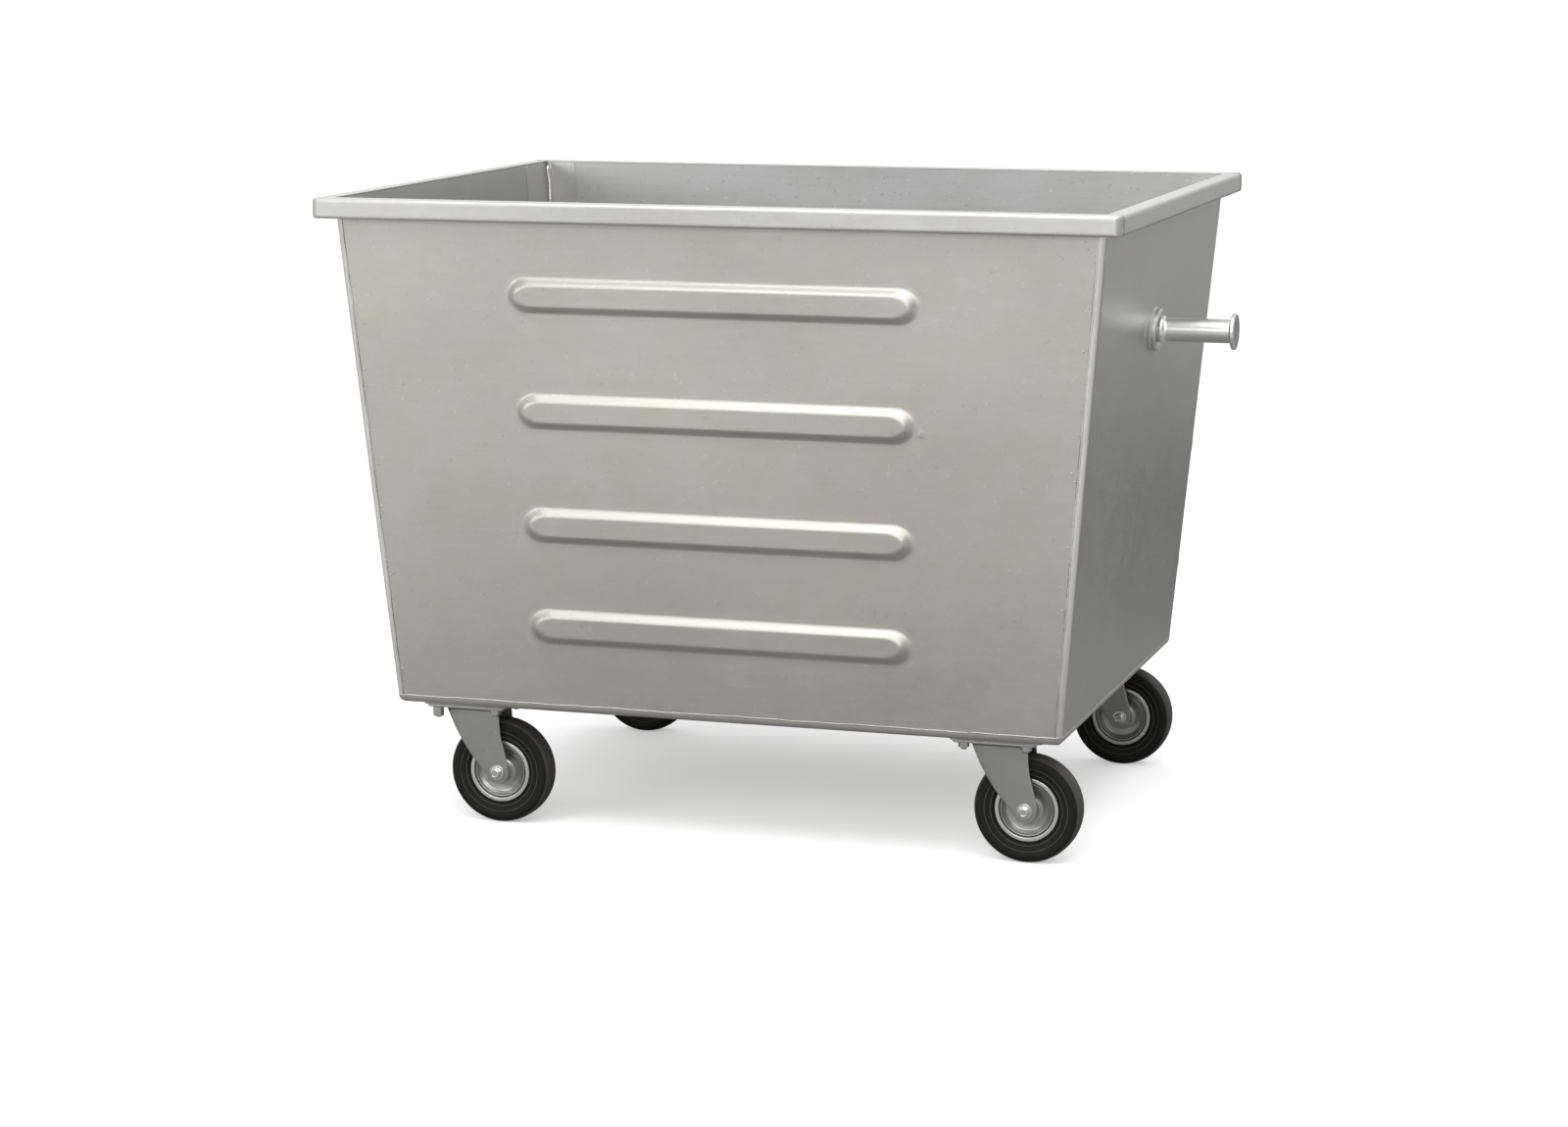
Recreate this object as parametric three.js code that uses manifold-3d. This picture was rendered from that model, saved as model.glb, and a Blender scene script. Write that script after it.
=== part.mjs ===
// Open-topped galvanised waste container, about 1100 litres, on four swivel castors.
// Millimetres, +Z up, +X along the length, the ribbed front faces -Y.
// Origin: centre of the footprint, on the floor that the tyres stand on.

import * as THREE from 'three';
import { mergeVertices } from 'three/addons/utils/BufferGeometryUtils.js';
import Module from 'manifold-3d';

const wasm = await Module();
wasm.setup();

// ------------------------------------------------------------------ driving dimensions
const GAP = 0.3; // clearance left between pieces that touch
const SHEET = 2; // wall sheet thickness

// tapered body (outer faces), straight lines between these two heights
const BODY_Z0 = 212.9; // underside of the floor pan
const BODY_Z1 = 1042; // height at which the upper sizes are given
const HALF_L0 = 581.4, HALF_L1 = 655.05; // half length at Z0, Z1
const HALF_D0 = 438.4, HALF_D1 = 486.0; // half depth at Z0, Z1
const WALL_TOP = 1073.7;
const CORNER_R = 12; // vertical corners, outside
const FLOOR_R = 10.5; // bend between floor and walls, outside
const SEAM_IN = 12.5; // vertical seams, in from the corner
const SEAM_UP = 13; // bottom seam, up from the underside

// rim: folded channel round the mouth
const RIM_L = 1370, RIM_D = 1032;
const RIM_Z0 = 1042, RIM_Z1 = 1076;
const RIM_R = 14; // rounded corners in plan
const RIM_EDGE = 6; // rolled edges of the channel
const RIM_JOINT = 16; // side channel starts this far behind the front face

// pressed ribs in the front and rear sheets
const RIBS = [ // centre height, half length
  [921.1, 349.5],
  [727.9, 340.7],
  [535.6, 335.3],
  [361.7, 330.4],
];
const RIB_HALF_H = 28, RIB_FLAT_HALF_H = 18.5, RIB_END = 34, RIB_END_RAMP = 12, RIB_DEPTH = 10;

// lifting trunnions
const TRUNNION_Y = -26.4, TRUNNION_Z = 847.2, TRUNNION_END = 778.1;
const PIN_R = 20, CAP_R = 31, CAP_T = 7, FLANGE_R = 36, FLANGE_T = 10, COLLAR_R = 24;
const BACKING = 140, BACKING_T = 4;

// inside corner strips
const STRIP_T = 2, STRIP_X = 56, STRIP_Y = 110, STRIP_Z0 = 232, STRIP_Z1 = 1073;

// castors
const CASTOR_X = 464.5, CASTOR_Y = 364.8, TRAIL = 47;
const WHEEL_R = 90, TYRE_HALF_W = 24, RIM_LIP_R = 54, RIM_LIP_Y = 19.5;
const HUB_HALF_W = 25.7, HUB_R = 17.5, SLEEVE_R = 10, AXLE_R = 6;
const PLATE_L = 140, PLATE_D = 114, PLATE_T = 4.3, PLATE_TOP = 208.7;
const PAD_L = 150, PAD_D = 120, PAD_T = 3.6, PAD_TOP = 212.6;
const BOLT_X = 52.5, BOLT_Y = 47, STUD_R = 5, NUT_AF = 17;
const RACE_R = 38, RACE_Z0 = 200.8, CROWN_TOP = 200.5, CROWN_T = 4;
const LEG_IN = 28, LEG_T = 3.5;
const FORK_PROFILE_LEFT = [[-45, 203], [-34.5, 178], [-25.5, 159], [-6, 126.6], [11.5, 105], [28.3, 84.6]];
const FORK_PROFILE_RIGHT = [[66.6, 93], [66.9, 104], [60, 130], [54, 156], [50.2, 203]];
const EYE_R = 20;
const KINGPIN_R = 8, KING_HEAD_R = 12.5, KING_HEAD_T = 6;

// facets round each turned shape
const SEG = { tyre: 24, rim: 16, race: 16, pin: 20, sleeve: 10, king: 12, hole: 8, hex: 6 };

// ------------------------------------------------------------------ helpers
const slopeX = (HALF_L1 - HALF_L0) / (BODY_Z1 - BODY_Z0);
const slopeY = (HALF_D1 - HALF_D0) / (BODY_Z1 - BODY_Z0);
const halfL = (z) => HALF_L0 + slopeX * (z - BODY_Z0);
const halfD = (z) => HALF_D0 + slopeY * (z - BODY_Z0);

// closed geometry -> solid
function solid(geometry) {
  const g = geometry.clone();
  for (const name of Object.keys(g.attributes)) if (name !== 'position') g.deleteAttribute(name);
  const m = mergeVertices(g, 1e-3);
  const index = m.index.array;
  const tri = [];
  for (let i = 0; i < index.length; i += 3) {
    const [a, b, c] = [index[i], index[i + 1], index[i + 2]];
    if (a !== b && b !== c && c !== a) tri.push(a, b, c);
  }
  return new wasm.Manifold(new wasm.Mesh({
    numProp: 3,
    vertProperties: new Float32Array(m.attributes.position.array),
    triVerts: new Uint32Array(tri),
  }));
}

// solid -> geometry
function geometryOf(body) {
  const m = body.getMesh();
  const g = new THREE.BufferGeometry();
  g.setAttribute('position', new THREE.BufferAttribute(new Float32Array(m.vertProperties), 3));
  g.setIndex(new THREE.BufferAttribute(new Uint32Array(m.triVerts), 1));
  g.computeVertexNormals();
  return g;
}

function box(x0, x1, y0, y1, z0, z1) {
  const g = new THREE.BoxGeometry(x1 - x0, y1 - y0, z1 - z0);
  g.translate((x0 + x1) / 2, (y0 + y1) / 2, (z0 + z1) / 2);
  return g;
}

function roundedRect(hx, hy, r) {
  const s = new THREE.Shape();
  s.moveTo(-hx + r, -hy);
  s.lineTo(hx - r, -hy);
  s.absarc(hx - r, -hy + r, r, -Math.PI / 2, 0, false);
  s.lineTo(hx, hy - r);
  s.absarc(hx - r, hy - r, r, 0, Math.PI / 2, false);
  s.lineTo(-hx + r, hy);
  s.absarc(-hx + r, hy - r, r, Math.PI / 2, Math.PI, false);
  s.lineTo(-hx, -hy + r);
  s.absarc(-hx + r, -hy + r, r, Math.PI, Math.PI * 1.5, false);
  return s;
}

function polygon(points) {
  return new THREE.Shape(points.map(([x, y]) => new THREE.Vector2(x, y)));
}

function prism(shape, z0, z1, curveSegments = 3) {
  const g = new THREE.ExtrudeGeometry(shape, { depth: z1 - z0, bevelEnabled: false, steps: 1, curveSegments });
  g.translate(0, 0, z0);
  return g;
}

// shape drawn in (x, z), extruded along y from y0 to y1
function prismY(shape, y0, y1, curveSegments = 3) {
  const g = prism(shape, -y1, -y0, curveSegments);
  g.rotateX(Math.PI / 2);
  return g;
}

// turned shapes: profile is a list of [radius, position along the axis], counter-clockwise
function lathe(profile, segments, facetDown = false) {
  const pts = profile.map(([r, y]) => new THREE.Vector2(r, y));
  return new THREE.LatheGeometry(pts, segments, facetDown ? Math.PI / segments : 0);
}
const ring = (profile) => [...profile, profile[0]];
const latheZ = (profile, segments) => lathe(profile, segments).rotateX(Math.PI / 2);
const latheX = (profile, segments) => lathe(profile, segments).rotateZ(-Math.PI / 2);

const cylinderZ = (r, z0, z1, n, turn = 0) =>
  new THREE.CylinderGeometry(r, r, z1 - z0, n).rotateX(Math.PI / 2).rotateZ(turn).translate(0, 0, (z0 + z1) / 2);
const cylinderY = (r, y0, y1, n) => new THREE.CylinderGeometry(r, r, y1 - y0, n).translate(0, (y0 + y1) / 2, 0);

// the tapered body as a full solid, its faces moved inwards by `inset`
function bodySolid(inset) {
  const r = FLOOR_R - inset;
  const shape = roundedRect(HALF_L0 - inset, HALF_D0 - inset, CORNER_R - inset);
  const g = new THREE.ExtrudeGeometry(shape, {
    depth: 900, steps: 1, curveSegments: 2, bevelEnabled: true, bevelThickness: r, bevelSize: r, bevelOffset: -r, bevelSegments: 3,
  });
  g.translate(0, 0, BODY_Z0 + inset + r);
  const p = g.attributes.position;
  for (let i = 0; i < p.count; i++) {
    const z = p.getZ(i);
    p.setX(i, p.getX(i) + Math.sign(p.getX(i)) * slopeX * (z - BODY_Z0));
    p.setY(i, p.getY(i) + Math.sign(p.getY(i)) * slopeY * (z - BODY_Z0));
  }
  return solid(g);
}

// everything between the two vertical seams, over the given depth
function betweenSeams(inset, y0, y1, z0, z1 = 1200) {
  return solid(prismY(polygon([
    [-halfL(z0) + inset, z0], [halfL(z0) - inset, z0], [halfL(z1) - inset, z1], [-halfL(z1) + inset, z1],
  ]), y0, y1));
}

// ------------------------------------------------------------------ materials
const zinc = new THREE.MeshStandardMaterial({ color: 0xb9b6ac, roughness: 0.42, metalness: 0.85 });
const zincDark = new THREE.MeshStandardMaterial({ color: 0x8c8c86, roughness: 0.45, metalness: 0.85 });
const rimZinc = new THREE.MeshStandardMaterial({ color: 0xcfcfc9, roughness: 0.36, metalness: 0.85 });
const plated = new THREE.MeshStandardMaterial({ color: 0xa3a49d, roughness: 0.3, metalness: 0.95 });
const steel = new THREE.MeshStandardMaterial({ color: 0xb4b4ae, roughness: 0.25, metalness: 1.0 });
const rubber = new THREE.MeshStandardMaterial({ color: 0x25251f, roughness: 0.75, metalness: 0.0 });

function mesh(name, body, material) {
  const m = new THREE.Mesh(body.isBufferGeometry ? body : geometryOf(body), material);
  m.name = name;
  return m;
}

const container = new THREE.Group();

// ------------------------------------------------------------------ body shell
const outer = bodySolid(0);
const inner = bodySolid(SHEET);
const shell = outer.subtract(inner).intersect(solid(box(-800, 800, -700, 700, 0, WALL_TOP)));

const seamZ = BODY_Z0 + SEAM_UP;
const floorPan = shell.intersect(solid(box(-800, 800, -700, 700, 0, seamZ)));
const aboveSeam = solid(box(-800, 800, -700, 700, seamZ + GAP, 1200));

// a pressed rib: levels are [height above the sheet, shrink along, shrink across]
function ribSolid(halfLength, trim, lift) {
  const hx = halfLength - trim, hy = RIB_HALF_H - trim;
  const s = new THREE.Shape();
  s.moveTo(-hx + RIB_END, -hy);
  s.lineTo(hx - RIB_END, -hy);
  s.absellipse(hx - RIB_END, 0, RIB_END, hy, -Math.PI / 2, Math.PI / 2, false);
  s.lineTo(-hx + RIB_END, hy);
  s.absellipse(-hx + RIB_END, 0, RIB_END, hy, Math.PI / 2, Math.PI * 1.5, false);
  const g = new THREE.ExtrudeGeometry(s, { depth: 2, steps: 2, bevelEnabled: false, curveSegments: 3 });
  const levels = [[-1, 1, 1], [0, 1, 1], [RIB_DEPTH, (hx - RIB_END_RAMP) / hx, (hy - (RIB_HALF_H - RIB_FLAT_HALF_H)) / hy]];
  const p = g.attributes.position;
  for (let i = 0; i < p.count; i++) {
    const [w, sx, sy] = levels[Math.round(p.getZ(i))];
    p.setXYZ(i, p.getX(i) * sx, p.getY(i) * sy, w + lift);
  }
  return g;
}

// front sheet, seen from -Y; the rear one is the same sheet turned round
let frontSheet = shell.intersect(betweenSeams(SEAM_IN + GAP, -700, 0, seamZ + GAP)).intersect(aboveSeam);
const n = Math.hypot(1, slopeY);
const across = new THREE.Matrix4().makeBasis(
  new THREE.Vector3(1, 0, 0), new THREE.Vector3(0, -slopeY / n, 1 / n), new THREE.Vector3(0, -1 / n, -slopeY / n));
for (const [z, halfLength] of RIBS) {
  const place = new THREE.Matrix4().makeTranslation(0, -halfD(z), z).multiply(across);
  frontSheet = frontSheet.add(solid(ribSolid(halfLength, 0, 0).applyMatrix4(place)));
}
for (const [z, halfLength] of RIBS) {
  const place = new THREE.Matrix4().makeTranslation(0, -halfD(z), z).multiply(across);
  const pocket = ribSolid(halfLength, 0.83, -SHEET);
  frontSheet = frontSheet.subtract(solid(pocket.applyMatrix4(place)));
}
const frontGeometry = geometryOf(frontSheet);
container.add(mesh('front_panel', frontGeometry, zinc));
const rear = mesh('rear_panel', frontGeometry.clone(), zinc);
rear.rotation.z = Math.PI;
container.add(rear);

// side sheets: they carry the bent corners and a short lip on the front and rear faces
const sideSheet = shell.subtract(betweenSeams(SEAM_IN, -700, 700, 100)).intersect(aboveSeam)
  .intersect(solid(box(0, 800, -700, 700, 0, 1200)));
const sideGeometry = geometryOf(sideSheet);
container.add(mesh('right_side_panel', sideGeometry, zincDark));
const leftSide = mesh('left_side_panel', sideGeometry.clone(), zincDark);
leftSide.rotation.z = Math.PI;
container.add(leftSide);
container.add(mesh('floor_pan', floorPan, zinc));

// ------------------------------------------------------------------ rim channel
const rimBlock = new THREE.ExtrudeGeometry(roundedRect(RIM_L / 2, RIM_D / 2, RIM_R), {
  depth: RIM_Z1 - RIM_Z0 - 2 * RIM_EDGE, steps: 1, curveSegments: 3,
  bevelEnabled: true, bevelThickness: RIM_EDGE, bevelSize: RIM_EDGE, bevelOffset: -RIM_EDGE, bevelSegments: 2,
});
rimBlock.translate(0, 0, RIM_Z0 + RIM_EDGE);
const bendIn = RIM_EDGE - SHEET;
const rimInside = new THREE.ExtrudeGeometry(roundedRect(RIM_L / 2 - SHEET, RIM_D / 2 - SHEET, RIM_R - SHEET), {
  depth: RIM_Z1 - RIM_Z0 - 2 * RIM_EDGE, steps: 1, curveSegments: 3,
  bevelEnabled: true, bevelThickness: bendIn, bevelSize: bendIn, bevelOffset: -bendIn, bevelSegments: 2,
});
rimInside.translate(0, 0, RIM_Z0 + RIM_EDGE);
const rimHollow = solid(rimInside);
const below = solid(box(-800, 800, -700, 700, 0, 1060));
const above = solid(box(-800, 800, -700, 700, 1060, 1200));
const rim = solid(rimBlock).subtract(rimHollow)
  .subtract(bodySolid(-GAP).intersect(below))
  .subtract(inner.intersect(above));

// the joint between a long channel and a side channel runs from the outer side to the inner corner
const jointInX = halfL(RIM_Z1) - SHEET, jointInY = halfD(RIM_Z1) - SHEET;
const jointOutX = RIM_L / 2, jointOutY = RIM_D / 2 - RIM_JOINT;
const jointAt = (t, shift) => [jointInX + t * (jointOutX - jointInX), -(jointInY + t * (jointOutY - jointInY)) + shift];
function endZone(shift) {
  const [ax, ay] = jointAt(2.2, shift);
  const [bx, by] = jointAt(-0.6, shift);
  return solid(prism(polygon([[-ax, -600], [ax, -600], [ax, ay], [bx, by], [-bx, by], [-ax, ay]]), 1000, 1100));
}
const rimFront = geometryOf(rim.intersect(endZone(0)));
const frontZone = endZone(GAP * 1.2);
const rearZone = solid(geometryOf(frontZone).rotateZ(Math.PI));
const rimSide = geometryOf(rim.subtract(frontZone).subtract(rearZone).intersect(solid(box(0, 800, -700, 700, 0, 1200))));
container.add(mesh('rim_front', rimFront, rimZinc));
const rimRear = mesh('rim_rear', rimFront.clone(), rimZinc);
rimRear.rotation.z = Math.PI;
container.add(rimRear);
container.add(mesh('rim_right', rimSide, rimZinc));
const rimLeft = mesh('rim_left', rimSide.clone(), rimZinc);
rimLeft.rotation.z = Math.PI;
container.add(rimLeft);

// ------------------------------------------------------------------ inside corner strips
const stripShell = bodySolid(SHEET + GAP).subtract(bodySolid(SHEET + GAP + STRIP_T));
for (const [name, sx, sy] of [['front_left', -1, -1], ['front_right', 1, -1], ['rear_left', -1, 1], ['rear_right', 1, 1]]) {
  const g = box(-STRIP_X, 40, -STRIP_Y, 40, STRIP_Z0, STRIP_Z1);
  const p = g.attributes.position;
  for (let i = 0; i < p.count; i++) {
    const z = p.getZ(i);
    p.setX(i, p.getX(i) + halfL(z) - SHEET - GAP);
    p.setY(i, p.getY(i) + halfD(z) - SHEET - GAP);
  }
  // the four strips are mirror images: turn for one pair, mirror for the other
  let zone = solid(g);
  if (sx < 0 || sy < 0) {
    const m = geometryOf(zone);
    const q = m.attributes.position;
    for (let i = 0; i < q.count; i++) q.setXY(i, sx * q.getX(i), sy * q.getY(i));
    if (sx * sy < 0) {
      const ix = m.index;
      for (let i = 0; i < ix.count; i += 3) {
        const t = ix.getX(i);
        ix.setX(i, ix.getX(i + 1));
        ix.setX(i + 1, t);
      }
    }
    zone = solid(m);
  }
  container.add(mesh(`corner_strip_${name}`, stripShell.intersect(zone), zinc));
}

// ------------------------------------------------------------------ lifting trunnions
// built at the wall, +x pointing outwards; the wall leans by the body's taper
const tilt = Math.atan(slopeX);
const pinStart = slopeX * PIN_R + 2 * GAP;
const collarStart = (FLANGE_T + 2 * GAP) / Math.cos(tilt) + COLLAR_R * slopeX + GAP;
const pinLength = TRUNNION_END - halfL(TRUNNION_Z);
const pinProfile = [
  [0, pinStart], [PIN_R, pinStart], [PIN_R, collarStart], [COLLAR_R, collarStart], [COLLAR_R - 0.8, collarStart + 4],
  [PIN_R + 1, collarStart + 8], [PIN_R, collarStart + 10], [PIN_R, pinLength - CAP_T], [CAP_R - 1.5, pinLength - CAP_T],
  [CAP_R, pinLength - CAP_T + 1.5], [CAP_R, pinLength - 1.5], [CAP_R - 1.5, pinLength], [0, pinLength],
];
const bore = solid(latheX([[0, -60], [PIN_R + 0.5, -60], [PIN_R + 0.5, 60], [0, 60]], SEG.pin));
const flangeDisc = latheX([
  [0, 2 * GAP], [FLANGE_R, 2 * GAP], [FLANGE_R, 2 * GAP + FLANGE_T - 2], [FLANGE_R - 2, 2 * GAP + FLANGE_T], [0, 2 * GAP + FLANGE_T],
], SEG.pin).rotateY(tilt);
const flangeGeometry = geometryOf(solid(flangeDisc).subtract(bore));
const backing = prism(roundedRect(BACKING / 2, BACKING / 2, 10), 0, BACKING_T)
  .rotateY(Math.PI / 2).translate(-SHEET - 2 * GAP - BACKING_T, 0, 0).rotateY(tilt);
const pinGeometry = latheX(pinProfile, SEG.pin);

for (const [side, sign] of [['right', 1], ['left', -1]]) {
  const g = new THREE.Group();
  g.position.set(sign * halfL(TRUNNION_Z), TRUNNION_Y, TRUNNION_Z);
  if (sign < 0) g.rotation.z = Math.PI;
  g.add(mesh(`trunnion_pin_${side}`, solid(pinGeometry.clone()), steel));
  g.add(mesh(`trunnion_flange_${side}`, flangeGeometry.clone(), plated));
  g.add(mesh(`trunnion_backing_${side}`, solid(backing.clone()), zinc));
  container.add(g);
}

// ------------------------------------------------------------------ castors
const nutR = NUT_AF / 2 / Math.cos(Math.PI / 6);
const plateBottom = PLATE_TOP - PLATE_T;

const topPlate = (() => {
  let s = solid(prism(roundedRect(PLATE_L / 2, PLATE_D / 2, 8), plateBottom, PLATE_TOP, 1));
  for (const sx of [-1, 1]) for (const sy of [-1, 1]) {
    s = s.subtract(solid(cylinderZ(STUD_R + 0.7, 150, 250, SEG.hole).translate(sx * BOLT_X, sy * BOLT_Y, 0)));
  }
  return geometryOf(s.subtract(solid(cylinderZ(13.2, 150, 250, SEG.king))));
})();

// welded pad with its four studs and their nuts; drop = how far each one hangs below the plate
function studPad(drop) {
  let s = solid(prism(roundedRect(PAD_L / 2, PAD_D / 2, 8), PAD_TOP - PAD_T, PAD_TOP, 1));
  let i = 0;
  for (const sy of [-1, 1]) for (const sx of [-1, 1]) {
    const d = drop[i++];
    const at = [sx * BOLT_X, sy * BOLT_Y, 0];
    s = s.add(solid(cylinderZ(STUD_R, plateBottom - d, PAD_TOP - 1, SEG.hole).translate(...at)));
    s = s.add(solid(cylinderZ(nutR, plateBottom - GAP - (d > 15 ? d - 2 : 8), plateBottom - GAP, SEG.hex, 0.4).translate(...at)));
  }
  return geometryOf(s);
}

const race = latheZ(ring([
  [14, RACE_Z0], [RACE_R - 1.5, RACE_Z0], [RACE_R, RACE_Z0 + 1.2], [RACE_R, plateBottom - GAP - 1.2], [RACE_R - 1.5, plateBottom - GAP], [14, plateBottom - GAP],
]), SEG.race);

const crownUnder = CROWN_TOP - CROWN_T;
const kingpin = latheZ([
  [0, crownUnder - GAP - KING_HEAD_T], [KING_HEAD_R - 2, crownUnder - GAP - KING_HEAD_T], [KING_HEAD_R, crownUnder - GAP - KING_HEAD_T + 1.7],
  [KING_HEAD_R, crownUnder - GAP], [KINGPIN_R, crownUnder - GAP], [KINGPIN_R, plateBottom + 0.5],
  [12, plateBottom + 0.5], [12, PLATE_TOP], [0, PLATE_TOP],
], SEG.king);

const fork = (() => {
  const out = LEG_IN + LEG_T;
  // bent channel: section in (y, z), extruded along x
  const section = new THREE.Shape();
  section.moveTo(-out, 60);
  section.lineTo(-LEG_IN, 60);
  section.lineTo(-LEG_IN, crownUnder - 2.5);
  section.absarc(-LEG_IN + 2.5, crownUnder - 2.5, 2.5, Math.PI, Math.PI / 2, true);
  section.lineTo(LEG_IN - 2.5, crownUnder);
  section.absarc(LEG_IN - 2.5, crownUnder - 2.5, 2.5, Math.PI / 2, 0, true);
  section.lineTo(LEG_IN, 60);
  section.lineTo(out, 60);
  section.lineTo(out, CROWN_TOP - 6);
  section.absarc(out - 6, CROWN_TOP - 6, 6, 0, Math.PI / 2, false);
  section.lineTo(-out + 6, CROWN_TOP);
  section.absarc(-out + 6, CROWN_TOP - 6, 6, Math.PI / 2, Math.PI, false);
  section.closePath();
  const channel = prism(section, -80, 120, 1);
  // (x, y, z) = (section x, section z, along) -> section x to Y, section y to Z, along to X
  channel.applyMatrix4(new THREE.Matrix4().makeBasis(
    new THREE.Vector3(0, 1, 0), new THREE.Vector3(0, 0, 1), new THREE.Vector3(1, 0, 0)));
  const side = new THREE.Shape();
  FORK_PROFILE_LEFT.forEach(([x, z], i) => (i ? side.lineTo(x, z) : side.moveTo(x, z)));
  side.absarc(TRAIL, WHEEL_R, EYE_R, Math.PI * 1.12, Math.PI * 2.05, false);
  FORK_PROFILE_RIGHT.forEach(([x, z]) => side.lineTo(x, z));
  side.closePath();
  return geometryOf(solid(channel).intersect(solid(prismY(side, -60, 60, 4)))
    .subtract(solid(cylinderZ(KINGPIN_R + 0.6, 150, 230, SEG.hole)))
    .subtract(solid(cylinderY(AXLE_R + 0.5, -60, 60, SEG.king).translate(TRAIL, 0, WHEEL_R))));
})();

const legOut = LEG_IN + LEG_T;
// axle bolt, head towards -y, and its nut on the other side; both turned about the y axis
const axleBolt = geometryOf(solid(lathe([
  [0, -legOut - 11.5], [6.5, -legOut - 11.5], [8.2, -legOut - 10.2], [8.2, -legOut - 3], [13, -legOut - 3], [13, -legOut - GAP],
  [AXLE_R, -legOut - GAP], [AXLE_R, legOut + 10.5], [0, legOut + 10.5],
], SEG.king)));
const axleNut = geometryOf(solid(cylinderY(13, legOut + GAP, legOut + 2.8, SEG.king))
  .add(solid(cylinderY(9.8, legOut + 2, legOut + 9, SEG.hex)))
  .subtract(solid(cylinderY(AXLE_R + 0.4, 0, 60, SEG.king))));

const sleeve = lathe(ring([[AXLE_R + 0.5, -LEG_IN + GAP], [SLEEVE_R, -LEG_IN + GAP], [SLEEVE_R, LEG_IN - GAP], [AXLE_R + 0.5, LEG_IN - GAP]]), SEG.sleeve);

// pressed wheel: hub tube and two dished discs, open between them under the tyre
const halfRim = [ // from the hub bore out along the lower side and back inside
  [SLEEVE_R + 0.5, -HUB_HALF_W], [HUB_R, -HUB_HALF_W], [HUB_R, -11], [35, -12], [45, -RIM_LIP_Y], [RIM_LIP_R, -RIM_LIP_Y],
  [RIM_LIP_R, -7], [51.5, -7], [51.5, -16.8], [46, -16.8], [HUB_R, -8.5],
];
const mirrored = halfRim.map(([r, y]) => [r, -y]).reverse();
const wheelRim = lathe(ring([...halfRim, ...mirrored]), SEG.rim);

const flat = 1 / Math.cos(Math.PI / SEG.tyre); // facets touch the true rolling circle
const tyreHalf = [[RIM_LIP_R * 1.02, -16.5], [61, -21.5], [79, -TYRE_HALF_W], [86, -20.5], [WHEEL_R * flat, -13]];
const tyre = lathe(ring([...tyreHalf, ...tyreHalf.map(([r, y]) => [r, -y]).reverse()]), SEG.tyre, true);

for (const [name, sx, sy, drop] of [
  ['front_left', -1, -1, [19, 12, 12, 19]],
  ['front_right', 1, -1, [12, 12, 12, 19]],
  ['rear_left', -1, 1, [12, 12, 12, 12]],
  ['rear_right', 1, 1, [12, 12, 12, 12]],
]) {
  const castor = new THREE.Group();
  castor.position.set(sx * CASTOR_X, sy * CASTOR_Y, 0);
  castor.add(mesh(`castor_pad_${name}`, studPad(drop), plated));
  castor.add(mesh(`castor_plate_${name}`, topPlate.clone(), plated));
  castor.add(mesh(`ball_race_${name}`, solid(race.clone()), steel));
  castor.add(mesh(`kingpin_${name}`, solid(kingpin.clone()), steel));
  castor.add(mesh(`fork_${name}`, fork.clone(), plated));
  const wheel = new THREE.Group();
  wheel.position.set(TRAIL, 0, WHEEL_R);
  wheel.add(mesh(`axle_bolt_${name}`, axleBolt.clone(), steel));
  wheel.add(mesh(`axle_nut_${name}`, axleNut.clone(), steel));
  wheel.add(mesh(`axle_sleeve_${name}`, solid(sleeve.clone()), steel));
  wheel.add(mesh(`wheel_rim_${name}`, solid(wheelRim.clone()), plated));
  wheel.add(mesh(`tyre_${name}`, solid(tyre.clone()), rubber));
  castor.add(wheel);
  container.add(castor);
}

export default container;
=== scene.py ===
import math
import random

import bpy
import bmesh
import numpy as np
from mathutils import Matrix, Vector


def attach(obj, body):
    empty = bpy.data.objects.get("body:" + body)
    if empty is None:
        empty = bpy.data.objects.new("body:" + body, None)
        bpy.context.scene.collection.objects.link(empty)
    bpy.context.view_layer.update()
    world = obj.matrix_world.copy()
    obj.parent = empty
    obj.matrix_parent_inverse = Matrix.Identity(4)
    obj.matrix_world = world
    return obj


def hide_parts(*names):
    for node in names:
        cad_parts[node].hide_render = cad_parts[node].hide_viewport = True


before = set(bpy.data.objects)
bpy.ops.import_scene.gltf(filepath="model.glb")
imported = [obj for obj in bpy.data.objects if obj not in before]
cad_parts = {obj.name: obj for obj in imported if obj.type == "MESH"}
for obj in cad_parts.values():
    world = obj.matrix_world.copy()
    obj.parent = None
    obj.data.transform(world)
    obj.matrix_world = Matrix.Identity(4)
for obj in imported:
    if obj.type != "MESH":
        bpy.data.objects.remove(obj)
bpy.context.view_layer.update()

scene = bpy.context.scene
D = math.radians

# Sizes below are millimetres, in the same frame as the CAD part. Meshes are scaled to metres when they are made.
MM = 0.001

# body
Z0, Z1 = 212.9, 1042.0
L0, L1, D0, D1 = 581.4, 655.05, 438.4, 486.0
SLX, SLY = (L1 - L0) / (Z1 - Z0), (D1 - D0) / (Z1 - Z0)
SEAM, TOP, SHEET = 225.9, 1073.7, 2.0
RIBS = [(921.1, 349.5), (727.9, 340.7), (535.6, 335.3), (361.7, 330.4)]
RIB_H, RIB_FLAT, RIB_END, RIB_RAMP, RIB_DEPTH = 28.0, 18.5, 34.0, 12.0, 10.0
CX, CY, TRAIL, AXLE_Z = 464.5, 364.8, 47.0, 90.0


def half_l(z):
    return L0 + SLX * (z - Z0)


def half_d(z):
    return D0 + SLY * (z - Z0)


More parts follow.
